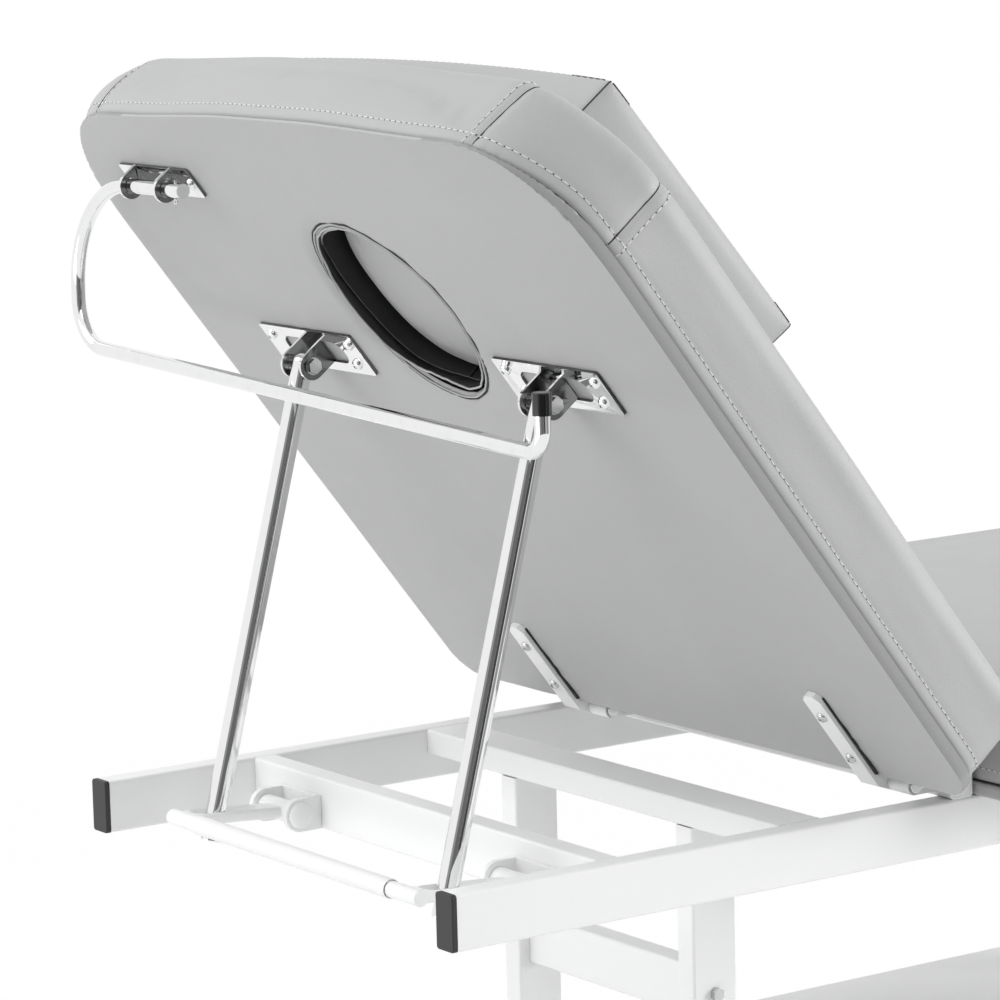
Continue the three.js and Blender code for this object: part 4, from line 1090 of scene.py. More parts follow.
def seam(name, piece, line, closed=False, depth=0.0016, width=0.0042, radius=0.0009):
    """Press a valley and lay a thin dark tube of painted shade in it."""
    press_valley(piece, line, depth, width)
    sunk = [place - normal * (depth + radius * 0.25) for place, normal in line]
    return tube_along(name, sunk, radius, 6, closed)

# %% Rows of stitches
stitch_pattern = primitive("stitch_pattern", bpy.ops.mesh.primitive_uv_sphere_add, segments=6, ring_count=6,
                           radius=1, rotation=(0, pi / 2, 0))


def merged(name, pattern, places):
    """Many copies of one pattern as a single mesh."""
    corners = points_of(pattern)
    faces = [list(face.vertices) for face in pattern.data.polygons]
    points, polygons = [], []
    for place in places:
        turn = np.array(place)
        points.append(corners @ turn[:3, :3].T + turn[:3, 3])
        shift = len(corners) * (len(points) - 1)
        polygons.extend([[index + shift for index in face] for face in faces])
    mesh = bpy.data.meshes.new(name)
    mesh.from_pydata(np.concatenate(points).tolist(), [], polygons)
    piece = bpy.data.objects.new(name, mesh)
    scene.collection.objects.link(piece)
    return smooth(piece, 60)


def stitched(piece, marks, height):
    """Press the shallow valley of a row of stitches, and find the line along its floor."""
    press_valley(piece, level_line(piece, marks, height), 0.0008, 0.0030)
    return level_line(piece, marks, height)


def stitch_places(line, pitch=0.008, long=0.0033, thick=0.00075):
    """Places for threads, which dip into the leather at both ends, and for dark spots of painted shade in
    the holes between them.
    """
    threads, holes = [], []
    walked = 0.0
    due = pitch / 2
    for (a, out), (b, _) in zip(line, line[1:]):
        length = (b - a).length
        if length < 1e-7:
            continue
        while due <= walked + length:
            at = a.lerp(b, (due - walked) / length)
            along = (b - a).normalized()
            side = out.cross(along).normalized()
            turn = Matrix((along, side, out)).transposed()
            threads.append(Matrix.Translation(at + out * thick * 0.2) @ turn.to_4x4()
                           @ Matrix.Diagonal((long, thick, thick, 1)))
            holes.append(Matrix.Translation(at + along * pitch / 2) @ turn.to_4x4()
                         @ Matrix.Diagonal((0.00075, 0.00070, 0.0004, 1)))
            due += pitch
        walked += length
    return threads, holes


def stitch_rows(name, lines, place, body):
    """All rows of one pad: one piece of thread, and one of dark spots that are the painted shade in the
    needle holes.
    """
    threads, holes = [], []
    for line in lines:
        more_threads, more_holes = stitch_places(line)
        threads += more_threads
        holes += more_holes
    for kind, spots, material in (("thread", threads, thread), ("needle_hole_shade", holes, seam_painted_shade)):
        piece = settle(merged(f"{name}_{kind}", stitch_pattern, spots), place)
        finish(piece, material, body, "grey_leather")
    print(f"{name}: {len(threads)} stitches")

# %% Seams of the backrest cushion
# Each entry is a place on the outline where a seam crosses the side, for Y times a side of -1 or 1,
# and how far from it the stitches beside that seam run.
PATCH_SEAMS = ((-0.790, 0.312, 0, -0.010), (-0.665, 0.400, 0.011, 0))
OVER = {"high": BACK_TOP + 0.004, "onto": 0.10, "step": 0.003}


def nearest_mark(marks, x, y):
    return min(marks, key=lambda mark: (mark[0] - Vector((x, y, 0))).length)


def cushion_foot(at):
    """The height of the seam between the board's edge and the cushion."""
    return float(UNDERSIDE + strip_height(np.array([at.x]), np.array([at.y]))[0] + 0.0012)


def backrest_seams(pad):
    marks = outline_points(BACK_HEAD, BACK_FOOT, BED_HALF, HEAD_CORNER, FOOT_CORNER, 0.004)
    tree = surface_tree(pad)
    foot_line = level_line(pad, marks, cushion_foot)
    crossing, beside = [], []
    for side, _ in SIDES:
        for x, y, step_x, step_y in PATCH_SEAMS:
            at, out = nearest_mark(marks, x, side * y)
            low = cushion_foot(at)
            crossing.append(line_over_edge(tree, at, out, low, **OVER))
            at, out = nearest_mark(marks, x + step_x, side * (y + step_y))
            beside.append(line_over_edge(tree, at, out, low, **OVER))
    # The dark tubes laid in the seams are painted shade.
    folds = [seam("shade_round_backrest", pad, foot_line, True, 0.0003, 0.0030, 0.0010)]
    folds += [seam("fold", pad, line) for line in crossing]
    rows = [stitched(pad, marks, lambda at: cushion_foot(at) + 0.0125)]
    tree = surface_tree(pad)
    for line in beside:
        again = [shoot(tree, place + normal * 0.02, -normal) for place, normal in line]
        rows.append([hit for hit in again if hit])
    return joined("backrest_seams", folds), rows


back_shade_tubes, back_rows = backrest_seams(pad)
settle(pad, raised)
finish(pad, cover_leather, "backrest", "grey_leather", "backrest_cushion")
finish(settle(back_shade_tubes, raised), seam_painted_shade, "backrest", "grey_leather")
stitch_rows("backrest", back_rows, raised, "backrest")

# %% [markdown]
# ## The head pillow
# The pillow is a flat box cushion with plain sewn edges and sharp corners. Its edges are held as
# it is blown up, so each face swells between them and the corners stand out as ears. Its top is
# then raised, more towards the foot, and drawn a little longer there. A thin dark tube of painted
# shade is laid along every seam that shows: thick on the upright ones, and thin on the top ones
# but for their ends.

# %% Pillow
PILLOW_LOW = Vector((-0.721, -0.302, BACK_TOP + 0.0053))
PILLOW_HIGH = Vector((-0.431, 0.302, BACK_TOP + 0.0553))
PILLOW_MIDDLE = (PILLOW_LOW + PILLOW_HIGH) / 2
PILLOW_HALF = (PILLOW_HIGH - PILLOW_LOW) / 2


def pillow_corner(*ends):
    """A corner of the box, from 0 for the low end or 1 for the high end on each axis."""
    return Vector([(PILLOW_LOW, PILLOW_HIGH)[end][axis] for axis, end in enumerate(ends)])


def pillow_edges():
    """The twelve edges, each as its two ends, in turn along X, along Y and upright."""
    edges = []
    for i, j in itertools.product((0, 1), repeat=2):
        edges.append((pillow_corner(0, i, j), pillow_corner(1, i, j)))
        edges.append((pillow_corner(i, 0, j), pillow_corner(i, 1, j)))
        edges.append((pillow_corner(i, j, 0), pillow_corner(i, j, 1)))
    return edges


def edge_distance(point):
    best = 1.0
    for a, b in pillow_edges():
        along = b - a
        share = min(max((point - a).dot(along) / along.length_squared, 0), 1)
        best = min(best, (point - a - along * share).length)
    return best


def plump(points):
    """Raise the top: its head edge arches, and it is thicker and longer towards the foot."""
    u = np.clip((points[:, 0] - PILLOW_MIDDLE.x) / PILLOW_HALF.x, -1, 1)
    v = np.clip((points[:, 1] - PILLOW_MIDDLE.y) / PILLOW_HALF.y, -1, 1)
    height = np.clip((points[:, 2] - PILLOW_LOW.z) / (2 * PILLOW_HALF.z), 0, 1)
    footwards = (u + 1) / 2
    rise = 0.003 + 0.013 * footwards + 0.0125 * (1 - v * v) * (1 - footwards)
    points[:, 2] += rise * height
    points[:, 0] += 0.005 * footwards * height
    belly = 0.007 * (1 - u ** 4) * bump_step(abs(v), 0.8, 1)
    points[:, 1] += np.sign(v) * belly * (1 - abs(2 * height - 1) ** 5)
    return points


def head_pillow():
    pillow = block("pillow", PILLOW_LOW, PILLOW_HIGH)
    ease(pillow, 0.002, 2)
    even_mesh(pillow, 0.0052)
    inflate(pillow, 14.0, 0.016, lambda point: edge_distance(Vector(point)) < 0.0045
            or point[2] < PILLOW_LOW.z + 0.0015)
    set_points(pillow, plump(points_of(pillow)))
    return smooth(soften(pillow), 60)


def edge_line(tree, a, b, axis):
    """Places on the pillow along one of its edges, found by rays that slant in from outside."""
    line = []
    for step in range(1, 60):
        at = Vector(plump(np.array([a.lerp(b, step / 60)]))[0])
        inside = Vector(np.sign(np.array(PILLOW_MIDDLE - at)))
        inside[axis] = 0
        inside.normalize()
        hit = shoot(tree, at - inside * 0.03, inside)
        if hit and (hit[0] - at).length < 0.008:
            line.append((hit[0], -inside))
    return line


def pillow_shade_tubes(pillow):
    tree = surface_tree(pillow)
    folds = []
    for index, (a, b) in enumerate(pillow_edges()):
        axis = index % 3
        if a.z < PILLOW_MIDDLE.z and b.z < PILLOW_MIDDLE.z:
            continue
        line = edge_line(tree, a, b, axis)
        upright = axis == 2
        # The dark tube along each seam is painted shade.
        folds.append(seam("pillow_seam_shade", pillow, line, False, 0.0007, 0.003, 0.0009 if upright else 0.0003))
        for end in () if upright else (line[:6], line[-6:]):
            folds.append(seam("pillow_shade_at_end", pillow, end, False, 0.0002, 0.003, 0.0007))
    return joined("pillow_seams", folds)


pillow = head_pillow()
folds = pillow_shade_tubes(pillow)
finish(settle(pillow, raised), cover_leather, "backrest", "grey_leather", "head_pillow")
finish(settle(folds, raised), seam_painted_shade, "backrest", "grey_leather")

# %% [markdown]
# ## The lined face hole
# The hole is lined with a dark sheet in two bands, and its lower band hangs slack at the foot
# end. A removable plug closes the hole from above, so grey leather shows behind the lining. A
# straight oval tube would look like pipe. So an open tube is subdivided into rings, and each
# point is then placed by its angle and its height: the lower band swells, and its hem is drawn
# in where it is slack. The plug is blown up as the other cushions are.

# %% Sleeves round the hole
def sleeve(name, rings, place, sides=180):
    """An open tube whose points are placed by their angle and their share of its height."""
    tube = drum(name, 1, (0, 0, 0), (0, 0, 1), sides)
    pick_faces(tube, lambda middle, normal: abs(normal.z) > 0.9)
    bpy.ops.mesh.delete(type="FACE")
    leave_edit()
    pick_edges(tube, runs(2))
    bpy.ops.mesh.subdivide(number_cuts=rings)
    leave_edit()
    set_points(tube, np.array([place(atan2(y, x), z) for x, y, z in points_of(tube)]))
    shell = tube.modifiers.new("sheet", "SOLIDIFY")
    shell.thickness = 0.0012
    shell.offset = 1
    apply_all(tube)
    return smooth(tube, 60)


def gather(turn):
    """How much the sheet is bunched at an angle, from -1 to 1."""
    return 0.5 * sin(5 * turn + 0.6) * sin(9 * turn) + 0.3 * sin(23 * turn + 2) + 0.2 * sin(41 * turn)


def seam_depth(turn):
    return round_the_hole(turn, [-180, -90, -30, 6, 16, 28, 45, 76, 95, 114, 144, 180],
                          [7, 12, 20, 21, 19.5, 17, 14, 13.8, 12.5, 11.7, 7, 7])


def hem_pull(turn):
    return round_the_hole(turn, [-180, -60, -30, -14, -4, 5, 22, 42, 58, 86, 105, 118, 130, 180],
                          [1, 1.5, 3, 8, 13, 16, 16, 10, 4, 2.5, 4, 6, 3, 1])


def skirt_at(turn, share):
    """The lower band, from its hem at 0 to the seam at 1."""
    away = hem_pull(turn) * (1 - share) ** 1.3 + 0.0024 * sin(pi * share) + 0.0006
    depth = 0.0012 + (seam_depth(turn) - 0.0012) * share
    return oval_at(turn, -away + 0.0009 * gather(turn) * (1 - share), UNDERSIDE + depth)


def lip_at(turn, share):
    """The cover's edge, which is folded into the hole and comes further in at its two ends."""
    reach = round_the_hole(turn, [-180, -150, -60, -25, 0, 30, 60, 120, 140, 160, 180],
                           [8, 3, 0.5, 0.5, 1.2, 1.2, 0.8, 1.5, 5, 8, 8])
    depth = 0.0004 - 0.0006 * sin(pi * share) + 0.0032 * share
    grow = 0.0024 - (reach + 0.0024) * share + 0.0006 * gather(turn)
    return oval_at(turn, grow, UNDERSIDE + depth + rim_drop(turn))


def rim_line(grow):
    """A rule for a line round the hole's rim, which widens with grow."""
    return lambda turn: oval_at(turn, grow + 0.0006 * gather(turn), UNDERSIDE + rim_drop(turn))


def rim_drop(turn):
    return 0.0010 + 0.0036 * exp(-((degrees(turn % (2 * pi)) - 85) / 55) ** 2)


def wall_at(turn, share):
    return oval_at(turn, 0.0010 - 0.0010 * sin(pi * share), UNDERSIDE + 0.0030 + 0.080 * share)


def ring(place, count=240):
    return [place(2 * pi * index / count) for index in range(count)]


# %% Lining, hem, lip and plug
def hole_plug():
    low = UNDERSIDE + 0.029
    plug = oval_cutter("hole_plug", -0.0042, low, BACK_TOP + 0.0030)
    round_edges(plug, rim(low), 0.010, 5)
    even_mesh(plug, 0.0040)
    inflate(plug, 5.0, 0.0040, lambda point: point[2] > low + 0.009)
    return smooth(soften(plug), 60)


plug = settle(hole_plug(), raised)
finish(plug, board_leather, "backrest", "grey_leather")
wall = settle(sleeve("hole_lining", 10, wall_at), raised)
finish(wall, dark_lining, "backrest", "dark_lining", "face_hole_lining")
skirt = settle(sleeve("hole_lining_hem_band", 9, skirt_at), raised)
finish(skirt, dark_lining, "backrest", "dark_lining")
lip = settle(sleeve("hole_lip_band", 4, lip_at), raised)
finish(lip, board_leather, "backrest", "grey_leather")
LINES = {
    "hole_lining_seam": (lambda turn: skirt_at(turn, 1), 0.00045, lining_thread, "dark_lining"),
    "hole_hem": (lambda turn: skirt_at(turn, 0), 0.0010, board_leather, "grey_leather"),
    "hole_lip": (rim_line(0.0018), 0.0011, cover_leather, "grey_leather"),
    # A thin dark ring of painted shade just outside the lip.
    "hole_lip_shade": (rim_line(0.0042), 0.0007, seam_painted_shade, "grey_leather"),
}
for name, (place, radius, material, slot) in LINES.items():
    line = tube_along(name, ring(place), radius, 8, True)
    finish(settle(line, raised), material, "backrest", slot)
# The lining's upright seam is a thin dark tube of painted shade.
upright_line = [skirt_at(radians(5.6), 1), oval_at(radians(7), -0.0010, UNDERSIDE + 0.037)]
upright_seam = tube_along("hole_upright_seam", upright_line, 0.0008)
finish(settle(upright_seam, raised), seam_painted_shade, "backrest", "dark_lining")

# %% [markdown]
# ## Strut brackets
# Each rod hangs in a bracket of 3 mm plate, screwed flat to the board. Two ears are cut out of
# the plate by a punch and folded down, which leaves a window behind each ear. The plate, the
# ears and the window cutters are blocks whose ends are rounded by a bevel, and then added and
# taken away. The sides of the ears, the plate's edges that face the head end and the sides of
# the bolts get a dark copy of chrome, which is painted shade.

# %% Brackets
PLATE_LOW = UNDERSIDE - SEAM - 0.003
EAR_INNER, EAR_OUTER, WINDOW_END = 0.0147, 0.0177, 0.050
EAR_HALF = 0.0135
SCREW_SPOTS = ((-0.5105, -0.0665), (-0.5105, 0.0665), (-0.4855, -0.058), (-0.4855, 0.058))


def round_ended(name, low, high, axis, end):
    """A block whose two edges along an axis, at its end on another side, are rounded to a half circle."""
    piece = block(name, low, high)
    across = 3 - axis - end[0]
    radius = (high[across] - low[across]) / 2 - 1e-5
    edge = (low, high)[end[1]][end[0]]
    return round_edges(piece, runs(axis, lambda at: abs(at[end[0]] - edge) < 1e-5), radius, 10)


def strut_bracket(side, name):
    y = side * STRUT_Y
    top = UNDERSIDE - SEAM
    plate = block(name, (STRUT_X - 0.025, y - 0.079, PLATE_LOW), (STRUT_X + 0.025, y + 0.079, top))
    round_edges(plate, runs(2), 0.003, 4)
    left, right = STRUT_X - EAR_HALF, STRUT_X + EAR_HALF
    for end in (-1, 1):
        near, far = sorted((y + end * EAR_OUTER, y + end * WINDOW_END))
        cut(plate, round_ended("window", (left, near, PLATE_LOW - 0.01), (right, far, top + 0.01),
                               2, (1, int(end > 0))))
    for end in (-1, 1):
        near, far = sorted((y + end * EAR_INNER, y + end * EAR_OUTER))
        weld(plate, round_ended("ear", (left, near, PIVOT_Z - EAR_HALF), (right, far, top - 0.001),
                                1, (2, 0)))
    cut(plate, drum("bore", 0.0043, (STRUT_X, y - 0.03, PIVOT_Z), (STRUT_X, y + 0.03, PIVOT_Z), 32))
    return ease(plate, 0.0005)


def pivot_bolt(side, name):
    """A bolt with a six-sided head on the near side, and a nut on the other."""
    y = side * STRUT_Y
    face = EAR_OUTER + SEAM

    def along(name, radius, start, end, sides):
        return drum(name, radius, (STRUT_X, y + start, PIVOT_Z), (STRUT_X, y + end, PIVOT_Z), sides)

    bolt = along(name, 0.0074, -face - 0.0050, -face, 6)
    washer = along("washer", 0.0084, -face - 0.0009, -face, 32)
    nut = along("nut", 0.0069, face, face + 0.0053, 6)
    weld(bolt, washer, along("shank", 0.004, -face - 0.001, face + 0.0072, 24), nut)
    return ease(bolt, 0.0009)


headwards = raised.to_3x3() @ Vector((-1, 0, 0))
PIVOT = raised @ Vector((STRUT_X, 0, PIVOT_Z))


def painted_shade_plate_faces(middle, normal):
    """Whether a face gets painted shade: the side of an ear, or an edge of the plate that faces the head
    end.
    """
    in_plate = (flat_down @ middle).z > PLATE_LOW - 0.0005
    return abs(normal.y) > 0.7 or (normal.dot(headwards) > 0.7 and in_plate)


def painted_shade_bolt_faces(middle, normal):
    """Whether a face gets painted shade: the washer's rim, or a side of the head or nut."""
    return hypot(middle.x - PIVOT.x, middle.z - PIVOT.z) > 0.0076 or abs(normal.y) < 0.5


for side, end in SIDES:
    bracket = settle(strut_bracket(side, "strut_plate_" + end), raised)
    finish(bracket, chrome, "backrest", "chrome", "strut_bracket_" + end)
    tone(bracket, chrome_painted_shade, painted_shade_plate_faces)
    bolt = settle(pivot_bolt(side, "pivot_bolt_" + end), raised)
    finish(bolt, zinc, "backrest", "zinc_steel", "strut_bolt_" + end)
    tone(bolt, chrome_painted_shade, painted_shade_bolt_faces)
    points = [raised @ Vector((x, side * STRUT_Y + dy, PLATE_LOW)) for x, dy in SCREW_SPOTS]
    drive("backrest", points, BELOW, chrome)

# %% [markdown]
# ## Hinge arms, lugs and pins
# Two flat steel arms are screwed under the backrest. Each is bent up to a knuckle that turns on
# a pin in a lug on the hinge tube. An arm is an outline drawn from the side and one drawn from
# above, so its flat bar and its bent web are each a filled outline that is extruded, and the
# knuckle is a cylinder welded to them. A thin black strip along its near side is its painted
# shadow on the board.

# %% Arms, lugs and pins
def extruded(name, outline, axis, low, high):
    """A filled outline in the plane across an axis, drawn out along it from low to high."""
    def at(pair, along):
        point = list(pair)
        point.insert(axis, along)
        return point
    mesh = bpy.data.meshes.new(name)
    mesh.from_pydata([at(pair, low) for pair in outline], [], [list(range(len(outline)))])
    piece = bpy.data.objects.new(name, mesh)
    scene.collection.objects.link(piece)
    pick_faces(piece)
    along = [0, 0, 0]
    along[axis] = high - low
    bpy.ops.mesh.extrude_region_move(TRANSFORM_OT_translate={"value": along})
    bpy.ops.mesh.select_all(action="SELECT")
    bpy.ops.mesh.normals_make_consistent(inside=False)
    leave_edit()
    return piece


ARM_HALF, ARM_THICK, CHAMFER = 0.0125, 0.006, 0.007
KNUCKLE, LUG_WIDE = 0.008, 0.028


def hinge_arm(y, name):
    top = UNDERSIDE - SEAM
    low = top - ARM_THICK
    near, far, tip = y - ARM_HALF, y + ARM_HALF, -0.125
    bar = extruded(name, [(-0.013, near), (-0.013, far), (tip + CHAMFER, far), (tip, far - CHAMFER),
                          (tip, near + CHAMFER), (tip + CHAMFER, near)], 2, low, top)
    lift = KNUCKLE * sqrt(0.5)
    web = extruded("web", [(-0.021, top), (-lift, lift), (lift, -lift), (-0.010, low), (-0.021, low)],
                   1, near, far)
    weld(bar, web, drum("knuckle", KNUCKLE, (0, near, 0), (0, far, 0), 32))
    return ease(bar, 0.0008)


def hinge_lug(y, name):
    high = y - ARM_HALF - SEAM
    low = high - LUG_WIDE
    lug = block(name, (0, low, -KNUCKLE), (0.0356, high, KNUCKLE))
    weld(lug, drum("eye", KNUCKLE, (0, low, 0), (0, high, 0), 32))
    return ease(lug, 0.0008)


def hinge_pin(y, name):
    low, high = y - ARM_HALF - LUG_WIDE - 2 * SEAM, y + ARM_HALF + SEAM
    pin = drum(name, 0.004, (0, low - 0.001, 0), (0, high + 0.001, 0), 24)
    for start in (low - 0.0025, high):
        weld(pin, drum("head", 0.006, (0, start, 0), (0, start + 0.0025, 0), 28))
    return ease(pin, 0.0007)


def arm_painted_shadow(y, name):
    """The arm's painted shadow on the board: a thin black strip beside it, wider towards the hinge."""
    face, level = y - ARM_HALF - 0.0001, UNDERSIDE - SEAM
    outline = [(-0.121, face), (-0.119, face - 0.0012), (-0.022, face - 0.0034), (-0.022, face)]
    return smooth(extruded(name, outline, 2, level - 0.0022, level))


upright = Matrix.Translation(HINGE)
for end, y in ARM_Y.items():
    arm = settle(hinge_arm(y, "arm_" + end), raised)
    finish(arm, white_paint, "backrest", "frame_paint", "hinge_arm_" + end)
    # The black strip beside the arm is its painted shadow.
    finish(settle(arm_painted_shadow(y, "arm_painted_shadow_" + end), raised), cap_plastic, "backrest", "black_plastic")
    arm_low = UNDERSIDE - SEAM - ARM_THICK
    drive("backrest", [raised @ Vector((x, y, arm_low)) for x in (-0.045, -0.0985)], BELOW)
    lug = settle(hinge_lug(y, "lug_" + end), upright)
    finish(lug, white_paint, "base", "frame_paint", "hinge_lug_" + end)
    pin = settle(hinge_pin(y, "pin_" + end), upright)
    finish(pin, zinc, "base", "zinc_steel", "hinge_pin_" + end)

# %% [markdown]
# ## The bracket for the paper roll
# Near the head end a small plate carries two loops, and the chrome bail that holds a roll of
# couch paper swings in them. The loops are round-ended blocks, bored through.

# %% Paper bracket
BAIL_X, BAIL_Z = -0.711, UNDERSIDE - 0.018
LOOP_Y, LOOP_HALF = 0.0315, 0.0125


def paper_bracket():
    top = UNDERSIDE - SEAM
    plate = block("paper_plate", (PAPER_X - 0.017, PAPER_Y - 0.062, PLATE_LOW),
                  (PAPER_X + 0.017, PAPER_Y + 0.062, top))
    round_edges(plate, runs(2), 0.003, 4)
    for side, _ in SIDES:
        y = PAPER_Y + side * LOOP_Y
        weld(plate, round_ended("loop", (BAIL_X - LOOP_HALF, y - 0.002, BAIL_Z - LOOP_HALF),
                                (BAIL_X + LOOP_HALF, y + 0.002, top - 0.001), 1, (2, 0)))
    cut(plate, drum("bore", 0.0074, (BAIL_X, PAPER_Y - 0.05, BAIL_Z), (BAIL_X, PAPER_Y + 0.05, BAIL_Z), 36))
    return ease(plate, 0.0005)


def painted_shade_loop_faces(middle, normal):
    """Whether a face gets painted shade: the side of an ear, an edge that faces the head end, or the bore of
    a loop.
    """
    in_bore = ((flat_down @ middle) - Vector((BAIL_X, middle.y, BAIL_Z))).length < 0.0078
    return painted_shade_plate_faces(middle, normal) or in_bore


paper_plate = settle(paper_bracket(), raised)
finish(paper_plate, chrome, "backrest", "chrome", "paper_bracket")
# The ears, the head-facing edges and the bores get painted shade.
tone(paper_plate, chrome_painted_shade, painted_shade_loop_faces)
points = [raised @ Vector((PAPER_X, PAPER_Y + dy, PLATE_LOW)) for dy in (-0.054, 0.054)]
drive("backrest", points, BELOW, chrome)

# %% [markdown]
# ## The support rods
# Two 20 mm chrome rods hang from the strut brackets. Each has a rounded top that turns on the
# bolt with a bushing on either side, and an eased foot with a stop pin pressed in, so that it
# cannot be pulled out of the release frame. A rod is a cylinder whose rims are bevelled, the
# upper one so far that it becomes a dome.

# %% Rods
ROD_TOP, ROD_FOOT = 0.0105, -0.4564
PIN_Z = ROD_FOOT + 0.013


def support_rod(side, name):
    y = side * STRUT_Y
    rod = drum(name, 0.010, (0, y, ROD_FOOT), (0, y, ROD_TOP), 64)
    round_edges(rod, rim(ROD_TOP), 0.0085, 8)
    round_edges(rod, rim(ROD_FOOT), 0.0015, 2)
    bushing = drum("bushing", 0.0075, (0, y - 0.0143, 0), (0, y + 0.0143, 0), 40)
    pin = drum("pin", 0.002, (0, y - 0.0135, PIN_Z), (0, y + 0.0135, PIN_Z), 20)
    return crisp(weld(rod, bushing, pin), 35)


rod_place = Matrix.Translation(PIVOT) @ Matrix.Rotation(radians(15.109), 4, "Y")
for side, end in SIDES:
    rod = settle(support_rod(side, "rod_" + end), rod_place)
    finish(rod, chrome, "rod_" + end, "chrome", "support_rod_" + end)

# %% [markdown]
# ## The release frame
# The rods pass through slots in two short arms that a cross bar joins. Lifting the bar frees the
# rods, and letting it drop wedges them. The arms are rounded blocks with a long slot, the hubs
# and the bar are cylinders, and all are welded to one painted piece. A plastic sleeve on the bar
# is the grip.

# %% Release frame and grip
RELEASE = Vector((RAIL_HEAD + 0.138, 0, 0.617))
BAR_X, BRANCH_HALF, GRIP_HALF = -0.111, 0.0145, 0.1625
release_place = Matrix.Translation(RELEASE) @ Matrix.Rotation(radians(3.8), 4, "Y")


def release_frame():
    bar_end = STRUT_Y + BRANCH_HALF
    whole = drum("release_bar", 0.0075, (BAR_X, -bar_end, 0), (BAR_X, bar_end, 0), 32)
    for side, _ in SIDES:
        y = side * STRUT_Y
        arm = block("arm", (BAR_X, y - BRANCH_HALF, -0.0055), (0.0, y + BRANCH_HALF, 0.0055))
        round_edges(arm, runs(0), 0.004, 4)
        slot = block("slot", (-0.1005, y - 0.0113, -0.03), (-0.0235, y + 0.0113, 0.03))
        round_edges(slot, runs(2), 0.0110, 8)
        cut(arm, slot)
        weld(whole, arm, drum("hub", 0.0105, (0, y - 0.0266, 0), (0, y + 0.0266, 0), 36))
    return ease(whole, 0.0007, 2, 30)


def grip_sleeve():
    grip = drum("grip_sleeve", 0.009, (BAR_X, -GRIP_HALF, 0), (BAR_X, GRIP_HALF, 0), 40)
    cut(grip, drum("bore", 0.0078, (BAR_X, -0.2, 0), (BAR_X, 0.2, 0), 40))
    return ease(grip, 0.0006)


finish(settle(release_frame(), release_place), white_paint, "release", "frame_paint", "release_frame")
finish(settle(grip_sleeve(), release_place), white_plastic, "release", "white_plastic", "release_grip")

# %% [markdown]
# ## Clevises and their capped pins
# The release frame turns in two clevises on the first cross tube: a plate and two round-nosed
# ears. Each pin ends in a domed white cap. The dome is a flattened sphere, cut in half.

# %% Clevises and pins
CLEVIS_FACE, CLEVIS_INNER, CLEVIS_OUTER, CLEVIS_HALF = 0.0232, 0.0272, 0.0332, 0.016


def clevis(side, name):
    y = side * STRUT_Y
    piece = block(name, (CLEVIS_FACE - 0.005, y - CLEVIS_OUTER, -CLEVIS_HALF),
                  (CLEVIS_FACE, y + CLEVIS_OUTER, CLEVIS_HALF))
    for end in (-1, 1):
        near, far = sorted((y + end * CLEVIS_INNER, y + end * CLEVIS_OUTER))
        weld(piece, round_ended("ear", (-CLEVIS_HALF, near, -CLEVIS_HALF),
                                (CLEVIS_FACE - 0.001, far, CLEVIS_HALF), 1, (0, 0)))
    return ease(piece, 0.0012, 3)


def capped_pin(side, name):
    y = side * STRUT_Y
    face = CLEVIS_OUTER + SEAM
    pin = drum(name, 0.005, (0, y - face - 0.001, 0), (0, y + face + 0.001, 0), 32)
    for end in (-1, 1):
        dome = half_ball("dome", (0, end, 0), segments=36, ring_count=18, radius=0.013,
                         rotation=(pi / 2, 0, 0))
        dome.data.transform(Matrix.Translation((0, y + end * face, 0)) @ Matrix.Diagonal((1, 0.55, 1, 1)))
        weld(pin, dome)
    return crisp(pin, 35)


axle = Matrix.Translation(RELEASE)
for side, end in SIDES:
    ears = settle(clevis(side, "clevis_ears_" + end), axle)
    finish(ears, white_paint, "base", "frame_paint", "clevis_" + end)
    pin = settle(capped_pin(side, "capped_pin_" + end), axle)
    finish(pin, white_plastic, "base", "white_plastic", "release_pin_" + end)

# %% [markdown]
# ## The bail for the paper roll
# One chrome bar, 14 mm thick, is bent from the loops round to a long straight that holds the
# roll, and turned up at its free end. Its line is worked out from the radii of the bends, and a
# round section is drawn along it. A black cap closes the free end, and a split pin keeps the
# other in its loops.

# %% Bail, cap and split pin
BAIL = raised @ Vector((BAIL_X, 0, BAIL_Z))
FIRST_BEND, SECOND_BEND, LAST_BEND = 0.1035, 0.045, 0.020
START_Y, PIN_Y, END_Y = 0.190, 0.204, -0.372
OUTER_Y = PAPER_Y + LOOP_Y + 0.004 + FIRST_BEND
DROP, FALL, TURNED_UP = 0.159, 0.027, 0.050


def arc(cy, cz, radius, start, end, count):
    turns = [start + (end - start) * index / count for index in range(count + 1)]
    return [Vector((0, cy + radius * cos(turn), cz + radius * sin(turn))) for turn in turns]


def bail_line():
    """The middle line of the bar: round to its long straight, which falls a little, and up at the end."""
    bend_y, turn_y = OUTER_Y - SECOND_BEND, END_Y + LAST_BEND
    foot = -DROP - FALL / (bend_y - END_Y) * (bend_y - turn_y)
    line = [Vector((0, START_Y, 0))]
    line += arc(OUTER_Y - FIRST_BEND, -FIRST_BEND, FIRST_BEND, pi / 2, 0, 28)
    line += arc(bend_y, SECOND_BEND - DROP, SECOND_BEND, 0, -pi / 2, 20)
    line += arc(turn_y, foot + LAST_BEND, LAST_BEND, -pi / 2, -pi, 12)
    return line + [Vector((0, END_Y, foot + TURNED_UP))]


def bail_cap(top):
    cap = drum("bail_cap", 0.0082, (0, END_Y, top - 0.0192), (0, END_Y, top), 48)
    round_edges(cap, rim(top), 0.0012, 3)
    cut(cap, drum("bore", 0.0073, (0, END_Y, top - 0.0412), (0, END_Y, top - 0.001), 48))
    return crisp(cap)


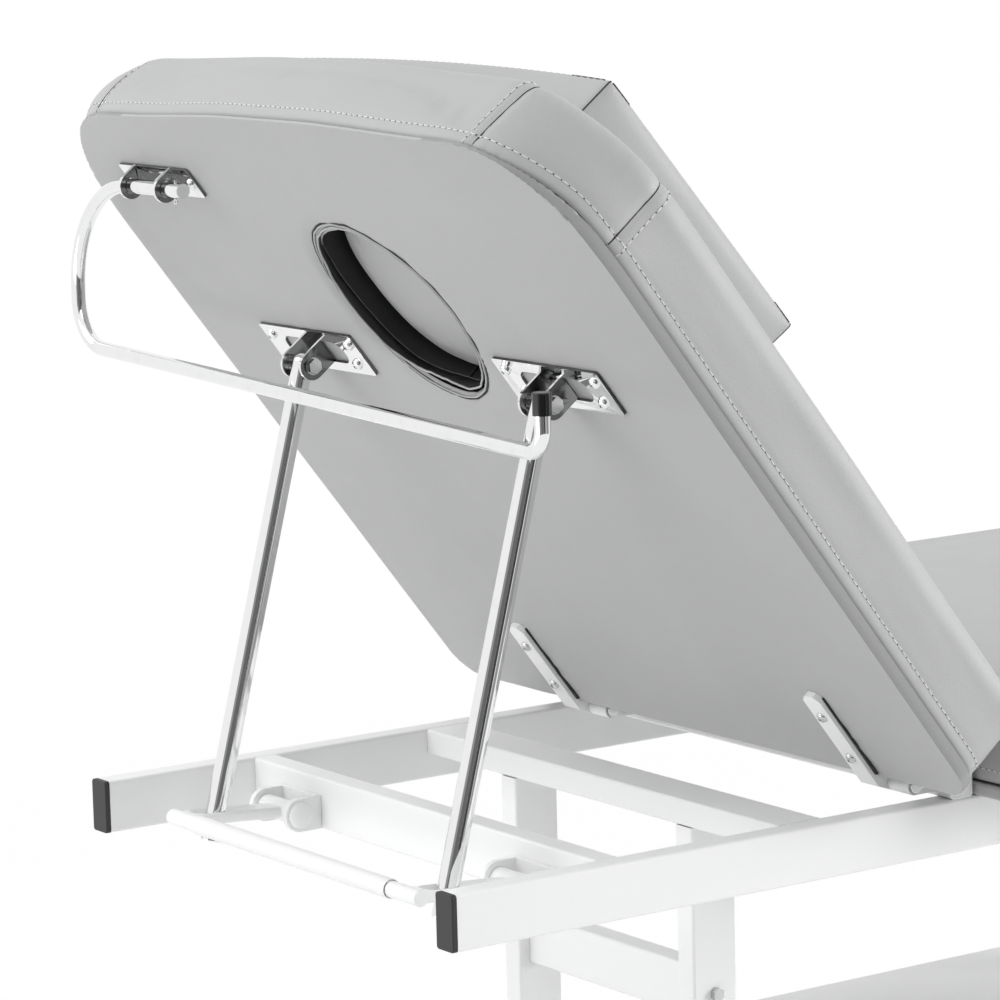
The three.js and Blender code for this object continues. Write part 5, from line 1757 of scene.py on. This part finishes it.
def split_pin():
    leg = drum("split_pin", 0.0013, (0, PIN_Y, -0.0085), (0, PIN_Y, 0.0095), 16)
    eye = primitive("eye", bpy.ops.mesh.primitive_torus_add, major_radius=0.0021, minor_radius=0.0009,
                    major_segments=28, minor_segments=10, location=(0, PIN_Y, -0.0105),
                    rotation=(0, pi / 2, 0))
    return smooth(weld(leg, eye))


line = bail_line()
bail_place = Matrix.Translation(BAIL)
bar = settle(tube_along("bail_bar", line, 0.007, 28), bail_place)
finish(bar, chrome, "bail", "chrome", "paper_bail")
# The bar's end face gets the dark chrome of painted shade as well.
tone(bar, chrome_painted_shade, lambda middle, normal: (middle - BAIL - line[0]).length < 0.001)
cap = settle(bail_cap(line[-1].z + 0.0012), bail_place)
finish(cap, gloss_plastic, "bail", "black_plastic", "bail_end_cap")
finish(settle(split_pin(), bail_place), zinc, "bail", "zinc_steel", "bail_split_pin")

# %% [markdown]
# ## The seat and leg section
# The seat is made as the backrest is: a wrapped board, a blown-up cushion, a thin dark tube of
# painted shade in the seam round its foot and a row of topstitching. It has no face hole, its
# round corners are at the foot end, and it lies level on the rails. The same steps are used, with
# the numbers of this pad.

# %% Seat
SEAT_HEAD, SEAT_END = -0.23785, 0.81515
SEAT_LOW, SEAT_TOP = RAIL_TOP + SEAM, RAIL_TOP + 0.095
SEAT_JOIN = SEAT_LOW + BOARD


def seat_board():
    board = slab("seat_panel", (SEAT_HEAD + 0.0015, 0.0015 - BED_HALF, SEAT_LOW),
                 (SEAT_END - 0.0015, BED_HALF - 0.0015, SEAT_JOIN), FOOT_CORNER, HEAD_CORNER)
    return ease(board, 0.003, 3)


def seat_pad():
    low = SEAT_JOIN + SEAM
    pad = foam("seat_pad", SEAT_HEAD, SEAT_END, low, SEAT_TOP, FOOT_CORNER, HEAD_CORNER - FOAM_INSET)
    even_mesh(pad, 0.0085)
    inflate(pad, 4.0, 0.0058, lambda point: point[2] < low + 0.004)
    return smooth(soften(pad), 60)


seat = seat_pad()
marks = outline_points(SEAT_HEAD, SEAT_END, BED_HALF, FOOT_CORNER, HEAD_CORNER, 0.004)
foot_line = level_line(seat, marks, lambda at: SEAT_JOIN + 0.0015)
# The dark tube round the seat's foot is painted shade.
seat_shade_tube = seam("seat_seams", seat, foot_line, True, 0.0008, 0.0035, 0.0008)
seat_row = stitched(seat, marks, lambda at: SEAT_JOIN + 0.0140)
finish(seat, cover_leather, "base", "grey_leather", "seat_cushion")
finish(seat_shade_tube, seam_painted_shade, "base", "grey_leather")
finish(seat_board(), board_leather, "base", "grey_leather", "seat_board")
stitch_rows("seat", [seat_row], Matrix.Identity(4), "base")

# %% [markdown]
# ## The cabinet and the last fittings
# The cabinet is outside the photo. Its boards, doors, handles, hinges and the tie bolts already
# have their right shape in CAD, so they stay as they are and only get their finishes.

# %% Finishes for the solids that stay
KEPT = (
    (laminate, ("cabinet_top", "cabinet_bottom", "cabinet_end_head", "cabinet_end_foot",
                "cabinet_back", "cabinet_divider", "door_head", "door_foot")),
    (plinth_board, ("cabinet_plinth",)),
    (chrome, ("door_handle_head", "door_handle_foot")),
    (zinc, ("door_hinge_head", "door_hinge_foot", "post_tie_bolt_head", "post_tie_bolt_foot")),
)
for material, nodes in KEPT:
    for node in nodes:
        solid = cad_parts[node]
        solid.data.materials.clear()
        solid.data.materials.append(material)
print("solids that stay:", sum(len(nodes) for _, nodes in KEPT))

# %% [markdown]
# ## Finish
# The screw and stitch patterns that the copies were made from are removed. The dressed model
# may not outgrow the solids.

# %% Finish
bpy.data.objects.remove(screw_pattern)
bpy.data.objects.remove(stitch_pattern)
